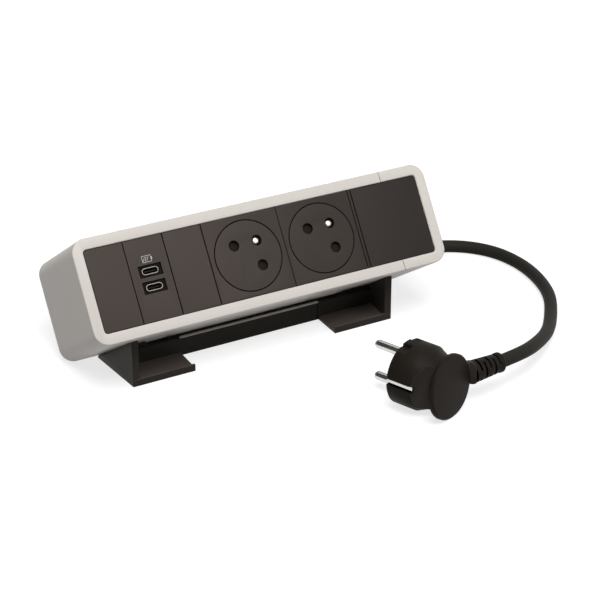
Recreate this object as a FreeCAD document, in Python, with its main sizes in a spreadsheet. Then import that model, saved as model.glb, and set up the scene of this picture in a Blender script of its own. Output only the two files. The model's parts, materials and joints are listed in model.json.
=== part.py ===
import FreeCAD, Part
import math
import os
import re

import Sketcher

# Desk power block on a wedge bracket, with its flexible cord and angled plug.
# The part stands on the plane z = 0. Its origin is the middle of the block's footprint,
# +X runs along the block to the viewer's right, +Y is away from the viewer, +Z is up.
# Lengths are in millimetres and angles in degrees.

SIZES = {
    # the block: a rounded box that leans back, so that its front looks up at the user
    "tilt": 34.0,
    "rear_edge_height": 0.8,
    "body_depth": 65.0,
    "rim_width": 6.0,
    "rim_thickness": 3.0,
    "corner_radius": 8.0,
    "opening_radius": 2.0,
    "wall": 2.2,
    "cap_length": 28.0,
    # the row of front plates, from left to right
    "plate_height": 45.0,
    "blank_left": 22.0,
    "usb_width": 22.5,
    "blank_centre": 22.5,
    "socket_pitch": 45.0,
    "strip_width": 2.0,
    "blank_right": 20.0,
    "plate_gap": 0.15,
    "plate_recess": 0.4,
    "frame_thickness": 2.0,
    "inner_gap": 0.3,
    # snap legs behind the plates
    "leg_width": 4.0,
    "leg_thickness": 1.2,
    "leg_length": 5.5,
    "leg_inset": 1.6,
    "leg_gap": 0.3,
    # flush sockets with a face that sinks under the plug
    "disc_radius": 19.35,
    "disc_gap": 0.25,
    "disc_face": 1.8,
    "disc_flange": 0.95,
    "disc_wall": 0.95,
    "disc_skirt": 7.6,
    "disc_travel": 15.0,
    "pin_spread": 19.0,
    "pin_radius": 2.4,
    "pin_hole_radius": 2.85,
    "earth_offset": 7.0,
    "earth_hole_radius": 2.75,
    "earth_tip_depth": 1.0,
    "stem_radius": 2.2,
    "stem_gap": 0.06,
    "stem_length": 5.6,
    "shutter_radius": 14.5,
    "shutter_thickness": 1.5,
    "shutter_turn": 40.0,
    "clip_radius": 5.6,
    "clip_thickness": 0.8,
    "spring_radius": 4.3,
    "spring_wire": 0.8,
    "spring_turns": 8.0,
    "jaw_clearance": 1.5,
    "case_wall": 1.4,
    "case_floor": 2.5,
    "jaw_height": 13.0,
    "jaw_width": 6.0,
    "jaw_leaf": 0.8,
    "jaw_play": 0.05,
    "tail_width": 2.6,
    # copper strips behind the sockets
    "tail_reach": 2.0,
    "strip_thickness": 1.0,
    "strip_breadth": 4.0,
    "strip_offset": 15.0,
    "strip_step": 4.0,
    # charger with two small ports
    "port_window_width": 13.0,
    "port_window_height": 6.2,
    "port_window_depth": 0.8,
    "port_width": 9.4,
    "port_height": 3.6,
    "port_wall": 0.35,
    "port_pitch": 8.7,
    "port_low": 18.2,
    "port_front": 1.0,
    "tongue_width": 6.7,
    "tongue_thickness": 0.7,
    "tongue_length": 5.5,
    "board_depth": 10.0,
    "board_thickness": 1.6,
    "board_width": 17.0,
    "charger_width": 20.0,
    "charger_height": 38.6,
    "charger_clearance": 6.0,
    "charger_wall": 1.2,
    # screws and the posts that they bite into
    "post_radius": 2.9,
    "post_inset": 6.0,
    "screw_radius": 1.45,
    "pilot_play": 0.05,
    "pin_root": 10.0,
    "pin_root_step": 0.5,
    "screw_head_radius": 2.5,
    "screw_head_height": 1.6,
    "screw_length": 9.0,
    # terminals and cord clamp in the right-hand cap
    "terminal_width": 8.5,
    "terminal_edge": 4.5,
    "terminal_cover": 4.0,
    "terminal_base": 5.0,
    "terminal_clearance": 1.1,
    "slot_gap": 0.1,
    "clamp_thickness": 3.0,
    "clamp_width": 8.0,
    "clamp_clearance": 2.8,
    "clamp_edge": 1.6,
    "clamp_end": 1.75,
    "core_radius": 1.25,
    # wedge bracket under the block
    "bracket_inset": 24.2,
    "bracket_right_inset": 28.4,
    "bracket_setback": 13.8,
    "bracket_wall": 4.0,
    "foot_width": 36.7,
    "bar_from_back": 20.8,
    "foot_thickness": 2.0,
    "lip_height": 4.0,
    "lip_thickness": 1.4,
    "bar_height": 10.8,
    "bar_thickness": 2.0,
    "bracket_flare": 6.0,
    "rail_play": 0.6,
    "rail_depth": 7.1,
    "tab_width": 14.0,
    "tab_thickness": 3.0,
    "tab_depth": 17.0,
    "tab_from_back": 3.3,
    "pad_thickness": 0.6,
    "pad_inset": 2.5,
    # the cord and its strain reliefs
    "cord_radius": 3.75,
    "boot_length": 22.0,
    "boot_root": 6.4,
    "boot_end": 5.0,
    "boot_flange": 8.0,
    "boot_bore_gap": 0.05,
    "coil_outer": 46.0,
    "coil_inner": 26.5,
    "coil_straight": 94.5,
    "coil_x": 2.75,
    "coil_y": 66.0,
    "coil_height": 15.0,
    "coil_edge": 4.0,
    "tie_width": 9.0,
    "tie_thickness": 0.8,
    # the plug
    "plug_x": 49.5,
    "plug_y": -136.2,
    "plug_turn": 23.0,
    "grip_radius": 17.6,
    "grip_thickness": 3.2,
    "grip_tilt": 6.0,
    "neck_radius": 13.8,
    "neck_end": 4.8,
    "shoulder_end": 15.5,
    "plug_radius": 17.8,
    "plug_length": 29.6,
    "plug_edge": 1.0,
    "plug_pin_length": 19.0,
    "side_boss_radius": 6.5,
    "side_boss_end": 20.4,
    "side_boss_height": 7.2,
    "side_turn": -18.0,
    "plug_boot_end": 39.5,
    "plug_boot_root": 6.2,
    "plug_boot_tip": 5.2,
    "plug_boot_collar": 0.3,
    "relief_slot_start": 2.2,
    "relief_slot_step": 6.3,
    "relief_slot_width": 1.3,
    "relief_slot_reach": 2.0,
    "key_width": 4.8,
    "key_span": 20.0,
    "key_depth": 2.4,
    "key_length": 6.3,
    "earth_clip_width": 2.0,
    "earth_clip_thickness": 0.8,
    "earth_clip_length": 16.5,
    "earth_clip_slot": 3.0,
    "earth_slot_height": 3.9,
    "earth_slot_rise": 0.95,
    "earth_socket_radius": 2.6,
    "earth_socket_depth": 15.0,
    "earth_socket_offset": 10.0,
}

doc = FreeCAD.newDocument("desk_power_block")
sheet = doc.addObject("Spreadsheet::Sheet", "Sizes")
for row, (name, value) in enumerate(SIZES.items(), 1):
    sheet.set(f"A{row}", name)
    sheet.set(f"B{row}", str(value))
    sheet.setAlias(f"B{row}", name)
doc.recompute()

WORDS = re.compile(r"\b(" + "|".join(sorted(SIZES, key=len, reverse=True)) + r")\b")
PIECES = {}


def linked(text):
    """An expression that reads the named sizes from the sheet."""
    return WORDS.sub(r"Sizes.\1", str(text))


def bind(thing, **values):
    for prop, text in values.items():
        thing.setExpression(prop, linked(text))


def put(thing, x, y, z):
    for axis, text in zip("xyz", (x, y, z)):
        thing.setExpression(f"Placement.Base.{axis}", linked(text))


# Lengths that follow from the sizes above, as expressions.
OPENING = (
    "(blank_left + usb_width + blank_centre + 2 * socket_pitch"
    " + strip_width + blank_right + cap_length - rim_width)"
)
LENGTH = f"({OPENING} + 2 * rim_width)"
HEIGHT = "(plate_height + 2 * rim_width)"
LEFT = f"(0 - {LENGTH} / 2)"
RIGHT = f"({LENGTH} / 2)"
JOINT = f"({RIGHT} - cap_length)"
MIDDLE = f"({HEIGHT} / 2)"
SEAT = "(rim_thickness)"
FRAME_BACK = "(rim_thickness + frame_thickness)"
COVER_FRONT = "(body_depth - wall)"
USB_START = f"({LEFT} + rim_width + blank_left)"
SOCKETS = [
    f"({USB_START} + usb_width + blank_centre + {k + 0.5} * socket_pitch)" for k in range(2)
]
STRIP_START = f"({USB_START} + usb_width + blank_centre + 2 * socket_pitch)"
PIN_OFFSET = "(pin_spread / 2 * cos(45deg))"
CASE_DEPTH = (
    "(plate_recess + stem_length + disc_travel + jaw_clearance + jaw_height + case_floor)"
)
STRIP_DEPTH = f"({CASE_DEPTH} + tail_reach)"
EARTH_STRIP_DEPTH = f"({STRIP_DEPTH} + strip_step)"
CHARGER_DEPTH = f"({STRIP_DEPTH} - charger_clearance)"
CLAMP_HALF = "(cord_radius + 2 * screw_radius + clamp_edge + clamp_end)"
CLAMP_BACK = f"({COVER_FRONT} - clamp_clearance)"
CLAMP_FRONT = f"({CLAMP_BACK} - clamp_width)"
EXIT_X = (
    f"({JOINT} + plate_gap + terminal_width + terminal_clearance + clamp_thickness + cord_radius)"
)
EXIT_UP = f"({HEIGHT} - wall - clamp_clearance - {CLAMP_HALF})"
FACE_Y = "(0 - (plate_height + 2 * rim_width) * sin(tilt * 1deg) / 2 - body_depth * cos(tilt * 1deg) / 2)"
FACE_Z = "(rear_edge_height + body_depth * sin(tilt * 1deg))"
BRACKET_LEFT = f"({LEFT} + bracket_inset)"
BRACKET_RIGHT = f"({RIGHT} - bracket_right_inset)"
BRACKET_FRONT = f"({FACE_Y} + bracket_setback)"


def lean(thing):
    """Turns a piece from the block's own frame (x along, y up the front, z out of it)."""
    thing.Placement = FreeCAD.Placement(
        FreeCAD.Vector(0, 0, 0), FreeCAD.Rotation(FreeCAD.Vector(1, 0, 0), 56)
    )
    bind(thing, **{"Placement.Rotation.Angle": "90 - tilt"})
    put(thing, 0, FACE_Y, FACE_Z)


def lay_plug(thing):
    """Turns a piece from the plug's own frame (y along its pins, z up) to where it lies."""
    thing.Placement = FreeCAD.Placement(
        FreeCAD.Vector(0, 0, 0), FreeCAD.Rotation(FreeCAD.Vector(0, 0, 1), 20)
    )
    bind(thing, **{"Placement.Rotation.Angle": "plug_turn"})
    put(thing, "plug_x", "plug_y", "plug_radius")


def stand(thing):
    """A piece that is drawn where it stands."""


def keep(label, thing, frame):
    if thing.TypeId in ("Part::Box", "Part::Cylinder"):
        thing = group(f"{label}_piece", thing)
    thing.Label = label
    frame(thing)
    PIECES[label] = thing
    return thing


def box(name, corner, size):
    thing = doc.addObject("Part::Box", name)
    bind(thing, Length=size[0], Width=size[1], Height=size[2])
    put(thing, *corner)
    return thing


def span(name, x, y, z):
    """A box from its lowest to its highest x, y and z."""
    low = [a for a, _ in (x, y, z)]
    size = [f"({b}) - ({a})" for a, b in (x, y, z)]
    return box(name, low, size)


TURNS = {
    "z": FreeCAD.Rotation(),
    "-z": FreeCAD.Rotation(FreeCAD.Vector(1, 0, 0), 180),
    "x": FreeCAD.Rotation(FreeCAD.Vector(0, 1, 0), 90),
    "-x": FreeCAD.Rotation(FreeCAD.Vector(0, 1, 0), -90),
    "y": FreeCAD.Rotation(FreeCAD.Vector(1, 0, 0), -90),
    "-y": FreeCAD.Rotation(FreeCAD.Vector(1, 0, 0), 90),
}


def rod(name, at, radius, length, along="z"):
    thing = doc.addObject("Part::Cylinder", name)
    bind(thing, Radius=radius, Height=length)
    thing.Placement = FreeCAD.Placement(FreeCAD.Vector(0, 0, 0), TURNS[along])
    put(thing, *at)
    return thing


def taper(name, at, start_radius, end_radius, length, along="z"):
    thing = doc.addObject("Part::Cone", name)
    bind(thing, Radius1=start_radius, Radius2=end_radius, Height=length)
    thing.Placement = FreeCAD.Placement(FreeCAD.Vector(0, 0, 0), TURNS[along])
    put(thing, *at)
    return thing


def ball(name, at, radius):
    thing = doc.addObject("Part::Sphere", name)
    bind(thing, Radius=radius)
    put(thing, *at)
    return thing


def fuse(name, *things):
    thing = doc.addObject("Part::MultiFuse", name)
    thing.Shapes = list(things)
    thing.Refine = True
    return thing


def cut(name, base, *tools):
    thing = doc.addObject("Part::Cut", name)
    thing.Base = base
    thing.Tool = tools[0] if len(tools) == 1 else fuse(f"{name}_tools", *tools)
    thing.Refine = True
    return thing


def group(name, *things):
    """Like pieces that stay separate solids in one node."""
    thing = doc.addObject("Part::Compound", name)
    thing.Links = list(things)
    return thing


def shape_of(thing):
    doc.recompute()
    return thing.Shape


def soften(name, base, radius, picks):
    """Rounds the edges that picks(start, end) chooses, by a radius in millimetres."""
    numbers = []
    for number, edge in enumerate(shape_of(base).Edges, 1):
        ends = [vertex.Point for vertex in edge.Vertexes]
        if len(ends) == 2 and picks(*ends):
            numbers.append(number)
    if not numbers:
        raise RuntimeError(f"{name}: no edge to round")
    thing = doc.addObject("Part::Fillet", name)
    thing.Base = base
    thing.Edges = [(number, radius, radius) for number in numbers]
    return thing


def near(a, b):
    return abs(a - b) < 1e-4


def upright(p, q):
    return near(p.x, q.x) and near(p.y, q.y)


def corners_at(xs):
    """Picks the edges along z whose x is one of xs."""
    return lambda p, q: upright(p, q) and any(near(p.x, x) for x in xs)


S = SIZES
opening = (
    S["blank_left"] + S["usb_width"] + S["blank_centre"] + 2 * S["socket_pitch"]
    + S["strip_width"] + S["blank_right"] + S["cap_length"] - S["rim_width"]
)
left = -opening / 2 - S["rim_width"]
right = -left
joint = right - S["cap_length"]
height = S["plate_height"] + 2 * S["rim_width"]
inner_radius = S["corner_radius"] - S["wall"]


def screw(name, at, along, head="pan"):
    """A screw whose head lies against the surface at a point and whose shaft goes in."""
    shaft = rod(f"{name}_shaft", at, "screw_radius", "screw_length", along)
    if head == "flush":
        top = taper(
            f"{name}_head", at, "screw_head_radius", "screw_radius", "screw_head_height", along
        )
        return fuse(name, shaft, top)
    back = {"x": "-x", "-x": "x", "y": "-y", "-y": "y", "z": "-z", "-z": "z"}[along]
    return fuse(name, shaft, rod(f"{name}_head", at, "screw_head_radius", "screw_head_height", back))


# The posts stand along the block's top and bottom walls and take the rear cover's screws.
POSTS = [
    (x, y)
    for x in (f"({LEFT} + wall + post_inset)", f"({JOINT} - post_inset)")
    for y in ("(wall + post_radius - 0.4)", f"({HEIGHT} - wall - post_radius + 0.4)")
]
BRACKET_SCREWS = [
    f"({BRACKET_LEFT} + bracket_wall + tab_width / 2)",
    f"({BRACKET_RIGHT} - bracket_wall - tab_width / 2)",
]
TAB_BACK = "(body_depth - tab_from_back)"
TAB_FRONT = f"({TAB_BACK} - tab_depth)"
TAB_MIDDLE = f"(({TAB_FRONT} + {TAB_BACK}) / 2)"
BOSS_TOP = "(wall + screw_length - tab_thickness + 0.6)"


def make_housing():
    """The long shell: left end, top, bottom and the front rim, open behind and at the cap."""
    outer = span("housing_outer", (LEFT, JOINT), (0, HEIGHT), ("0 - body_depth", 0))
    outer = soften("housing_rounded", outer, S["corner_radius"], corners_at([left]))
    cavity = span(
        "housing_cavity",
        (f"{LEFT} + wall", f"{JOINT} + wall"),
        ("wall", f"{HEIGHT} - wall"),
        ("0 - body_depth - wall", "0 - rim_thickness"),
    )
    cavity = soften("housing_cavity_rounded", cavity, inner_radius, corners_at([left + S["wall"]]))
    mouth = span(
        "housing_mouth",
        (f"{LEFT} + rim_width", f"{JOINT} + wall"),
        ("rim_width", f"{HEIGHT} - rim_width"),
        ("0 - rim_thickness - wall", "wall"),
    )
    mouth = soften(
        "housing_mouth_rounded", mouth, S["opening_radius"], corners_at([left + S["rim_width"]])
    )
    shell = cut("housing_hollow", outer, cavity, mouth)
    posts = [
        rod(f"post_{k}", (x, y, f"0 - {COVER_FRONT}"), "post_radius",
            f"{COVER_FRONT} - {FRAME_BACK} - inner_gap")
        for k, (x, y) in enumerate(POSTS)
    ]
    bosses = [
        rod(f"bracket_boss_{k}", (x, "wall / 2", f"0 - {TAB_MIDDLE}"), "post_radius",
            f"{BOSS_TOP} - wall / 2", "y")
        for k, x in enumerate(BRACKET_SCREWS)
    ]
    solid = fuse("housing_solid", shell, *posts, *bosses)
    pilots = [
        rod(f"post_pilot_{k}", (x, y, "0 - body_depth"), "screw_radius + pilot_play",
            "screw_length + 1")
        for k, (x, y) in enumerate(POSTS)
    ]
    pilots += [
        rod(f"boss_pilot_{k}", (x, -1, f"0 - {TAB_MIDDLE}"), "screw_radius + pilot_play",
            "screw_length - tab_thickness + 1.3", "y")
        for k, x in enumerate(BRACKET_SCREWS)
    ]
    keep("housing_shell", cut("housing", solid, *pilots), lean)


def make_rear_cover():
    plate = span(
        "cover_plate",
        (f"{LEFT} + wall + plate_gap", f"{JOINT} - plate_gap"),
        ("wall + plate_gap", f"{HEIGHT} - wall - plate_gap"),
        ("0 - body_depth", f"0 - {COVER_FRONT}"),
    )
    plate = soften(
        "cover_rounded", plate, inner_radius, corners_at([left + S["wall"] + S["plate_gap"]])
    )
    sinks = [
        taper(f"cover_sink_{k}", (x, y, "0 - body_depth"), "screw_head_radius", "screw_radius",
              "screw_head_height")
        for k, (x, y) in enumerate(POSTS)
    ]
    holes = [
        rod(f"cover_hole_{k}", (x, y, "0 - body_depth - 1"), "screw_radius + pilot_play", "wall + 2")
        for k, (x, y) in enumerate(POSTS)
    ]
    keep("rear_cover", cut("cover", plate, *sinks, *holes), lean)
    screws = [
        screw(f"cover_screw_{k}", (x, y, "0 - body_depth"), "z", "flush")
        for k, (x, y) in enumerate(POSTS)
    ]
    keep("rear_cover_screws", group("cover_screws", *screws), lean)


def leg_boxes(name, xs, gap="0", length="leg_length", start=SEAT):
    """Snap legs, two for each x: one near the opening's lower edge and one near its upper."""
    legs = []
    for k, x in enumerate(xs):
        for side, y in (
            ("low", "(rim_width + leg_inset)"),
            ("high", f"({HEIGHT} - rim_width - leg_inset - leg_thickness)"),
        ):
            legs.append(
                span(
                    f"{name}_{side}_{k}",
                    (f"{x} - leg_width / 2 - {gap}", f"{x} + leg_width / 2 + {gap}"),
                    (f"{y} - {gap}", f"{y} + leg_thickness + {gap}"),
                    (f"0 - {start} - {length}", f"0 - {start}"),
                )
            )
    return legs


BLANKS = {
    "left_blank_plate": (f"({LEFT} + rim_width)", "blank_left", "left"),
    "centre_blank_plate": (f"({USB_START} + usb_width)", "blank_centre", ""),
    "right_blank_plate": (f"({STRIP_START} + strip_width)", "blank_right", ""),
    "end_cap_plate": (JOINT, "(cap_length - rim_width)", "right"),
}


def plate_box(name, start, width):
    return span(
        name,
        (f"{start} + plate_gap", f"{start} + {width} - plate_gap"),
        ("rim_width + plate_gap", f"{HEIGHT} - rim_width - plate_gap"),
        ("0 - rim_thickness", "0 - plate_recess"),
    )


def socket_leg_places(x):
    return [f"({x} - socket_pitch / 2 + leg_width)", f"({x} + socket_pitch / 2 - leg_width)"]


LEG_PLACES = {name: [f"({start} + {width} / 2)"] for name, (start, width, _) in BLANKS.items()}
LEG_PLACES["usb_plate"] = [f"({USB_START} + usb_width / 2)"]
LEG_PLACES["socket_plate_1"] = socket_leg_places(SOCKETS[0])
LEG_PLACES["socket_plate_2"] = socket_leg_places(SOCKETS[1])
PORT_X = f"({USB_START} + usb_width / 2)"
PORT_YS = ["(rim_width + port_low)", "(rim_width + port_low + port_pitch)"]


def make_blanks():
    for name, (start, width, rounded_side) in BLANKS.items():
        plate = plate_box(f"{name}_flat", start, width)
        edge = {"left": left + S["rim_width"] + S["plate_gap"],
                "right": right - S["rim_width"] - S["plate_gap"]}.get(rounded_side)
        if edge is not None:
            radius = S["opening_radius"] - S["plate_gap"]
            plate = soften(f"{name}_rounded", plate, radius, corners_at([edge]))
        keep(name, fuse(f"{name}_whole", plate, *leg_boxes(f"{name}_leg", LEG_PLACES[name])), lean)
    keep("divider_strip", plate_box("strip", STRIP_START, "strip_width"), lean)


def stadium(name, x, y, z, width, tall, depth):
    """A bar of rounded section, its middle at x, y, reaching from z back to z - depth."""
    core = span(
        f"{name}_core",
        (f"{x} - ({width} - {tall}) / 2", f"{x} + ({width} - {tall}) / 2"),
        (f"{y} - {tall} / 2", f"{y} + {tall} / 2"),
        (f"{z} - {depth}", z),
    )
    ends = [
        rod(f"{name}_end_{k}", (f"{x} {sign} ({width} - {tall}) / 2", y, f"{z} - {depth}"),
            f"{tall} / 2", depth)
        for k, sign in enumerate("-+")
    ]
    return fuse(name, core, *ends)


def make_charger():
    plate = plate_box("usb_plate_flat", USB_START, "usb_width")
    legs = leg_boxes("usb_leg", LEG_PLACES["usb_plate"])
    cuts = []
    for k, y in enumerate(PORT_YS):
        cuts.append(
            span(
                f"port_window_{k}",
                (f"{PORT_X} - port_window_width / 2", f"{PORT_X} + port_window_width / 2"),
                (f"{y} - port_window_height / 2", f"{y} + port_window_height / 2"),
                ("0 - plate_recess - port_window_depth", "0"),
            )
        )
        cuts.append(
            stadium(f"port_hole_{k}", PORT_X, y, "(wall)", "(port_width + 2 * plate_gap)",
                    "(port_height + 2 * plate_gap)", "(rim_thickness + 2 * wall)")
        )
    whole = fuse("usb_plate_whole", plate, *legs)
    keep("usb_plate", cut("usb_plate_cut", whole, *cuts), lean)

    board_front = "(0 - board_depth)"
    shells = []
    tongues = []
    for k, y in enumerate(PORT_YS):
        depth = "(board_depth - port_front)"
        outer = stadium(f"port_outer_{k}", PORT_X, y, "(0 - port_front)", "(port_width)",
                        "(port_height)", depth)
        inner = stadium(f"port_inner_{k}", PORT_X, y, "(1)", "(port_width - 2 * port_wall)",
                        "(port_height - 2 * port_wall)", "(board_depth + 2)")
        shells.append(cut(f"port_shell_{k}", outer, inner))
        tongue = span(
            f"tongue_blade_{k}",
            (f"{PORT_X} - tongue_width / 2", f"{PORT_X} + tongue_width / 2"),
            (f"{y} - tongue_thickness / 2", f"{y} + tongue_thickness / 2"),
            (board_front, f"{board_front} + tongue_length + 2"),
        )
        root = stadium(f"tongue_root_{k}", PORT_X, y, f"({board_front} + 2)",
                       "(port_width - 2 * port_wall)", "(port_height - 2 * port_wall)", "(2)")
        tongues.append(fuse(f"tongue_{k}", tongue, root))
    keep("usb_port_shells", group("port_shells", *shells), lean)
    keep("usb_port_tongues", group("port_tongues", *tongues), lean)

    low, high = f"({MIDDLE} - charger_height / 2)", f"({MIDDLE} + charger_height / 2)"
    side = (f"({PORT_X} - charger_width / 2)", f"({PORT_X} + charger_width / 2)")
    board = span(
        "board_plate",
        (f"{PORT_X} - board_width / 2", f"{PORT_X} + board_width / 2"),
        (f"{low} + charger_wall + plate_gap", f"{high} - charger_wall - plate_gap"),
        (f"{board_front} - board_thickness", board_front),
    )
    keep("usb_circuit_board", board, lean)
    outer = span("charger_outer", side, (low, high), (f"0 - {CHARGER_DEPTH}", f"0 - {FRAME_BACK}"))
    inner = span(
        "charger_inner",
        (f"{side[0]} + charger_wall", f"{side[1]} - charger_wall"),
        (f"{low} + charger_wall", f"{high} - charger_wall"),
        (f"0 - {CHARGER_DEPTH} + charger_wall", "0"),
    )
    ledges = [
        span(f"charger_ledge_{k}", (f"{side[0]} + charger_wall / 2", f"{side[1]} - charger_wall / 2"),
             y, (f"{board_front} - board_thickness - 2", f"{board_front} - board_thickness"))
        for k, y in enumerate(
            ((f"{low} + charger_wall / 2", f"{low} + charger_wall + 2"),
             (f"{high} - charger_wall - 2", f"{high} - charger_wall / 2"))
        )
    ]
    feeds = [f"({MIDDLE} + strip_offset)", f"({MIDDLE} - strip_offset)"]
    holes = [
        rod(f"feed_hole_{k}", (PORT_X, y, f"0 - {CHARGER_DEPTH} - 1"), "1", "charger_wall + 2")
        for k, y in enumerate(feeds)
    ]
    shell = cut("charger_shell", outer, inner)
    keep("usb_charger_case", cut("charger", fuse("charger_solid", shell, *ledges), *holes), lean)
    back = f"({board_front} - board_thickness)"
    pins = [
        rod(f"feed_pin_{k}", (PORT_X, y, f"0 - {STRIP_DEPTH}"), "0.8", f"{STRIP_DEPTH} + {back}")
        for k, y in enumerate(feeds)
    ]
    keep("usb_feed_pins", group("feed_pins", *pins), lean)
    core = span(
        "transformer_block",
        (f"{PORT_X} - 6", f"{PORT_X} + 6"),
        (f"{MIDDLE} - 9", f"{MIDDLE} + 3"),
        (f"{back} - 10", back),
    )
    keep("usb_transformer", core, lean)
    keep("usb_capacitor", rod("capacitor", (PORT_X, f"{MIDDLE} + 8", f"{back} - 13"), "4", "13"), lean)


def make_frame():
    """The inner frame that the front plates snap onto."""
    low_x, high_x = f"({LEFT} + wall + inner_gap)", f"({JOINT} - plate_gap)"
    plate = span(
        "frame_plate",
        (low_x, high_x),
        ("wall + inner_gap", f"{HEIGHT} - wall - inner_gap"),
        (f"0 - {FRAME_BACK}", f"0 - {SEAT}"),
    )
    plate = soften(
        "frame_rounded", plate, inner_radius, corners_at([left + S["wall"] + S["inner_gap"]])
    )
    bore = "(disc_radius + disc_flange + inner_gap)"
    cuts = [
        rod(f"frame_bore_{k}", (x, MIDDLE, f"0 - {FRAME_BACK} - 1"), bore, "frame_thickness + 2")
        for k, x in enumerate(SOCKETS)
    ]
    cuts.append(
        span(
            "frame_port_window",
            (f"{PORT_X} - port_window_width / 2", f"{PORT_X} + port_window_width / 2"),
            (f"{PORT_YS[0]} - port_window_height", f"{PORT_YS[1]} + port_window_height"),
            (f"0 - {FRAME_BACK} - 1", "0"),
        )
    )
    for name, places in LEG_PLACES.items():
        if name != "end_cap_plate":
            cuts += leg_boxes(f"frame_slot_{name}", places, "leg_gap", "(frame_thickness + 1)")
    keep("module_frame", cut("frame", plate, *cuts), lean)


def polar(x, radius, angle):
    return f"({x} + {radius} * cos(({angle}) * 1deg))", f"({MIDDLE} + {radius} * sin(({angle}) * 1deg))"


def make_socket(k, x):
    """One flush socket: plate, sinking face with its shutter, case, contacts and earth pin."""
    face_back = "(plate_recess + disc_face)"
    bore = "(disc_radius + disc_flange + inner_gap)"
    pins = [(f"({x} {a} {PIN_OFFSET})", f"({MIDDLE} {b} {PIN_OFFSET})") for a, b in ("-+", "+-")]
    earth = (f"({x} + earth_offset)", f"({MIDDLE} + earth_offset)")

    plate = plate_box(f"socket_flat_{k}", f"({x} - socket_pitch / 2)", "socket_pitch")
    legs = leg_boxes(f"socket_leg_{k}", LEG_PLACES[f"socket_plate_{k}"])
    hole = rod(f"socket_hole_{k}", (x, MIDDLE, f"0 - {SEAT} - 1"), "disc_radius + disc_gap",
               "rim_thickness + 2")
    keep(f"socket_plate_{k}", cut(f"socket_plate_cut_{k}",
         fuse(f"socket_plate_whole_{k}", plate, *legs), hole), lean)

    face = rod(f"disc_body_{k}", (x, MIDDLE, "0 - plate_recess - disc_skirt"), "disc_radius",
               "disc_skirt")
    flange_top = "(rim_thickness + inner_gap)"
    flange = rod(f"disc_ring_{k}", (x, MIDDLE, "0 - plate_recess - disc_skirt"),
                 "disc_radius + disc_flange", f"plate_recess + disc_skirt - {flange_top}")
    hollow = rod(f"disc_hollow_{k}", (x, MIDDLE, "0 - plate_recess - disc_skirt - 1"),
                 "disc_radius - disc_wall", f"disc_skirt + 1 - disc_face")
    shell = cut(f"disc_shell_{k}", fuse(f"disc_outer_{k}", face, flange), hollow)
    stem = rod(f"disc_stem_{k}", (x, MIDDLE, f"0 - plate_recess - stem_length"), "stem_radius",
               "stem_length - disc_face / 2")
    holes = [
        rod(f"disc_pin_hole_{k}_{n}", (px, py, f"0 - {face_back} - 1"), "pin_hole_radius",
            "disc_face + 2")
        for n, (px, py) in enumerate(pins)
    ]
    holes.append(rod(f"disc_earth_hole_{k}", (*earth, f"0 - {face_back} - 1"),
                     "earth_hole_radius", "disc_face + 2"))
    keep(f"socket_disc_{k}", cut(f"disc_{k}", fuse(f"disc_solid_{k}", shell, stem), *holes), lean)

    shutter_front = f"({face_back} + inner_gap)"
    shutter_back = f"({shutter_front} + shutter_thickness)"
    blade = rod(f"shutter_blade_{k}", (x, MIDDLE, f"0 - {shutter_back}"), "shutter_radius",
                "shutter_thickness")
    openings = [rod(f"shutter_centre_{k}", (x, MIDDLE, f"0 - {shutter_back} - 1"),
                    "stem_radius + stem_gap", "shutter_thickness + 2")]
    for n, angle in enumerate(("135 - shutter_turn", "315 - shutter_turn")):
        openings.append(rod(f"shutter_hole_{k}_{n}",
                            (*polar(x, "pin_spread / 2", angle), f"0 - {shutter_back} - 1"),
                            "pin_hole_radius", "shutter_thickness + 2"))
    steps = 8
    for n in range(steps + 1):
        openings.append(rod(f"shutter_slot_{k}_{n}",
                            (*polar(x, "earth_offset * sqrt(2)", f"45 - shutter_turn * {n / steps}"),
                             f"0 - {shutter_back} - 1"),
                            "earth_hole_radius + inner_gap", "shutter_thickness + 2"))
    keep(f"pin_shutter_{k}", cut(f"shutter_{k}", blade, *openings), lean)

    clip_top = f"({shutter_back} + inner_gap)"
    ring = rod(f"clip_ring_{k}", (x, MIDDLE, f"0 - {clip_top} - clip_thickness"), "clip_radius",
               "clip_thickness")
    bore_clip = rod(f"clip_bore_{k}", (x, MIDDLE, f"0 - {clip_top} - clip_thickness - 1"),
                    "stem_radius", "clip_thickness + 2")
    keep(f"shutter_clip_{k}", cut(f"clip_{k}", ring, bore_clip), lean)

    outer = rod(f"case_outer_{k}", (x, MIDDLE, f"0 - {CASE_DEPTH}"), f"{bore} + case_wall",
                f"{CASE_DEPTH} - {FRAME_BACK}")
    inner = rod(f"case_inner_{k}", (x, MIDDLE, f"0 - {CASE_DEPTH} + case_floor"), bore, CASE_DEPTH)
    guide = rod(f"case_guide_{k}", (x, MIDDLE, f"0 - {CASE_DEPTH} + case_floor / 2"),
                "spring_radius - spring_wire - inner_gap", "case_floor / 2 + 4")
    shell = fuse(f"case_solid_{k}", cut(f"case_cup_{k}", outer, inner), guide)
    slots = [
        span(f"case_slot_{k}_{n}",
             (f"{px} - tail_width / 2 - slot_gap", f"{px} + tail_width / 2 + slot_gap"),
             (f"{py} - jaw_leaf / 2 - slot_gap", f"{py} + jaw_leaf / 2 + slot_gap"),
             (f"0 - {CASE_DEPTH} - 1", f"0 - {CASE_DEPTH} + case_floor + 1"))
        for n, (px, py) in enumerate(pins)
    ]
    slots.append(rod(f"case_earth_hole_{k}", (*earth, f"0 - {CASE_DEPTH} - 1"),
                     "pin_radius + pilot_play", "case_floor + 2"))
    keep(f"socket_case_{k}", cut(f"case_{k}", shell, *slots), lean)

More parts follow.
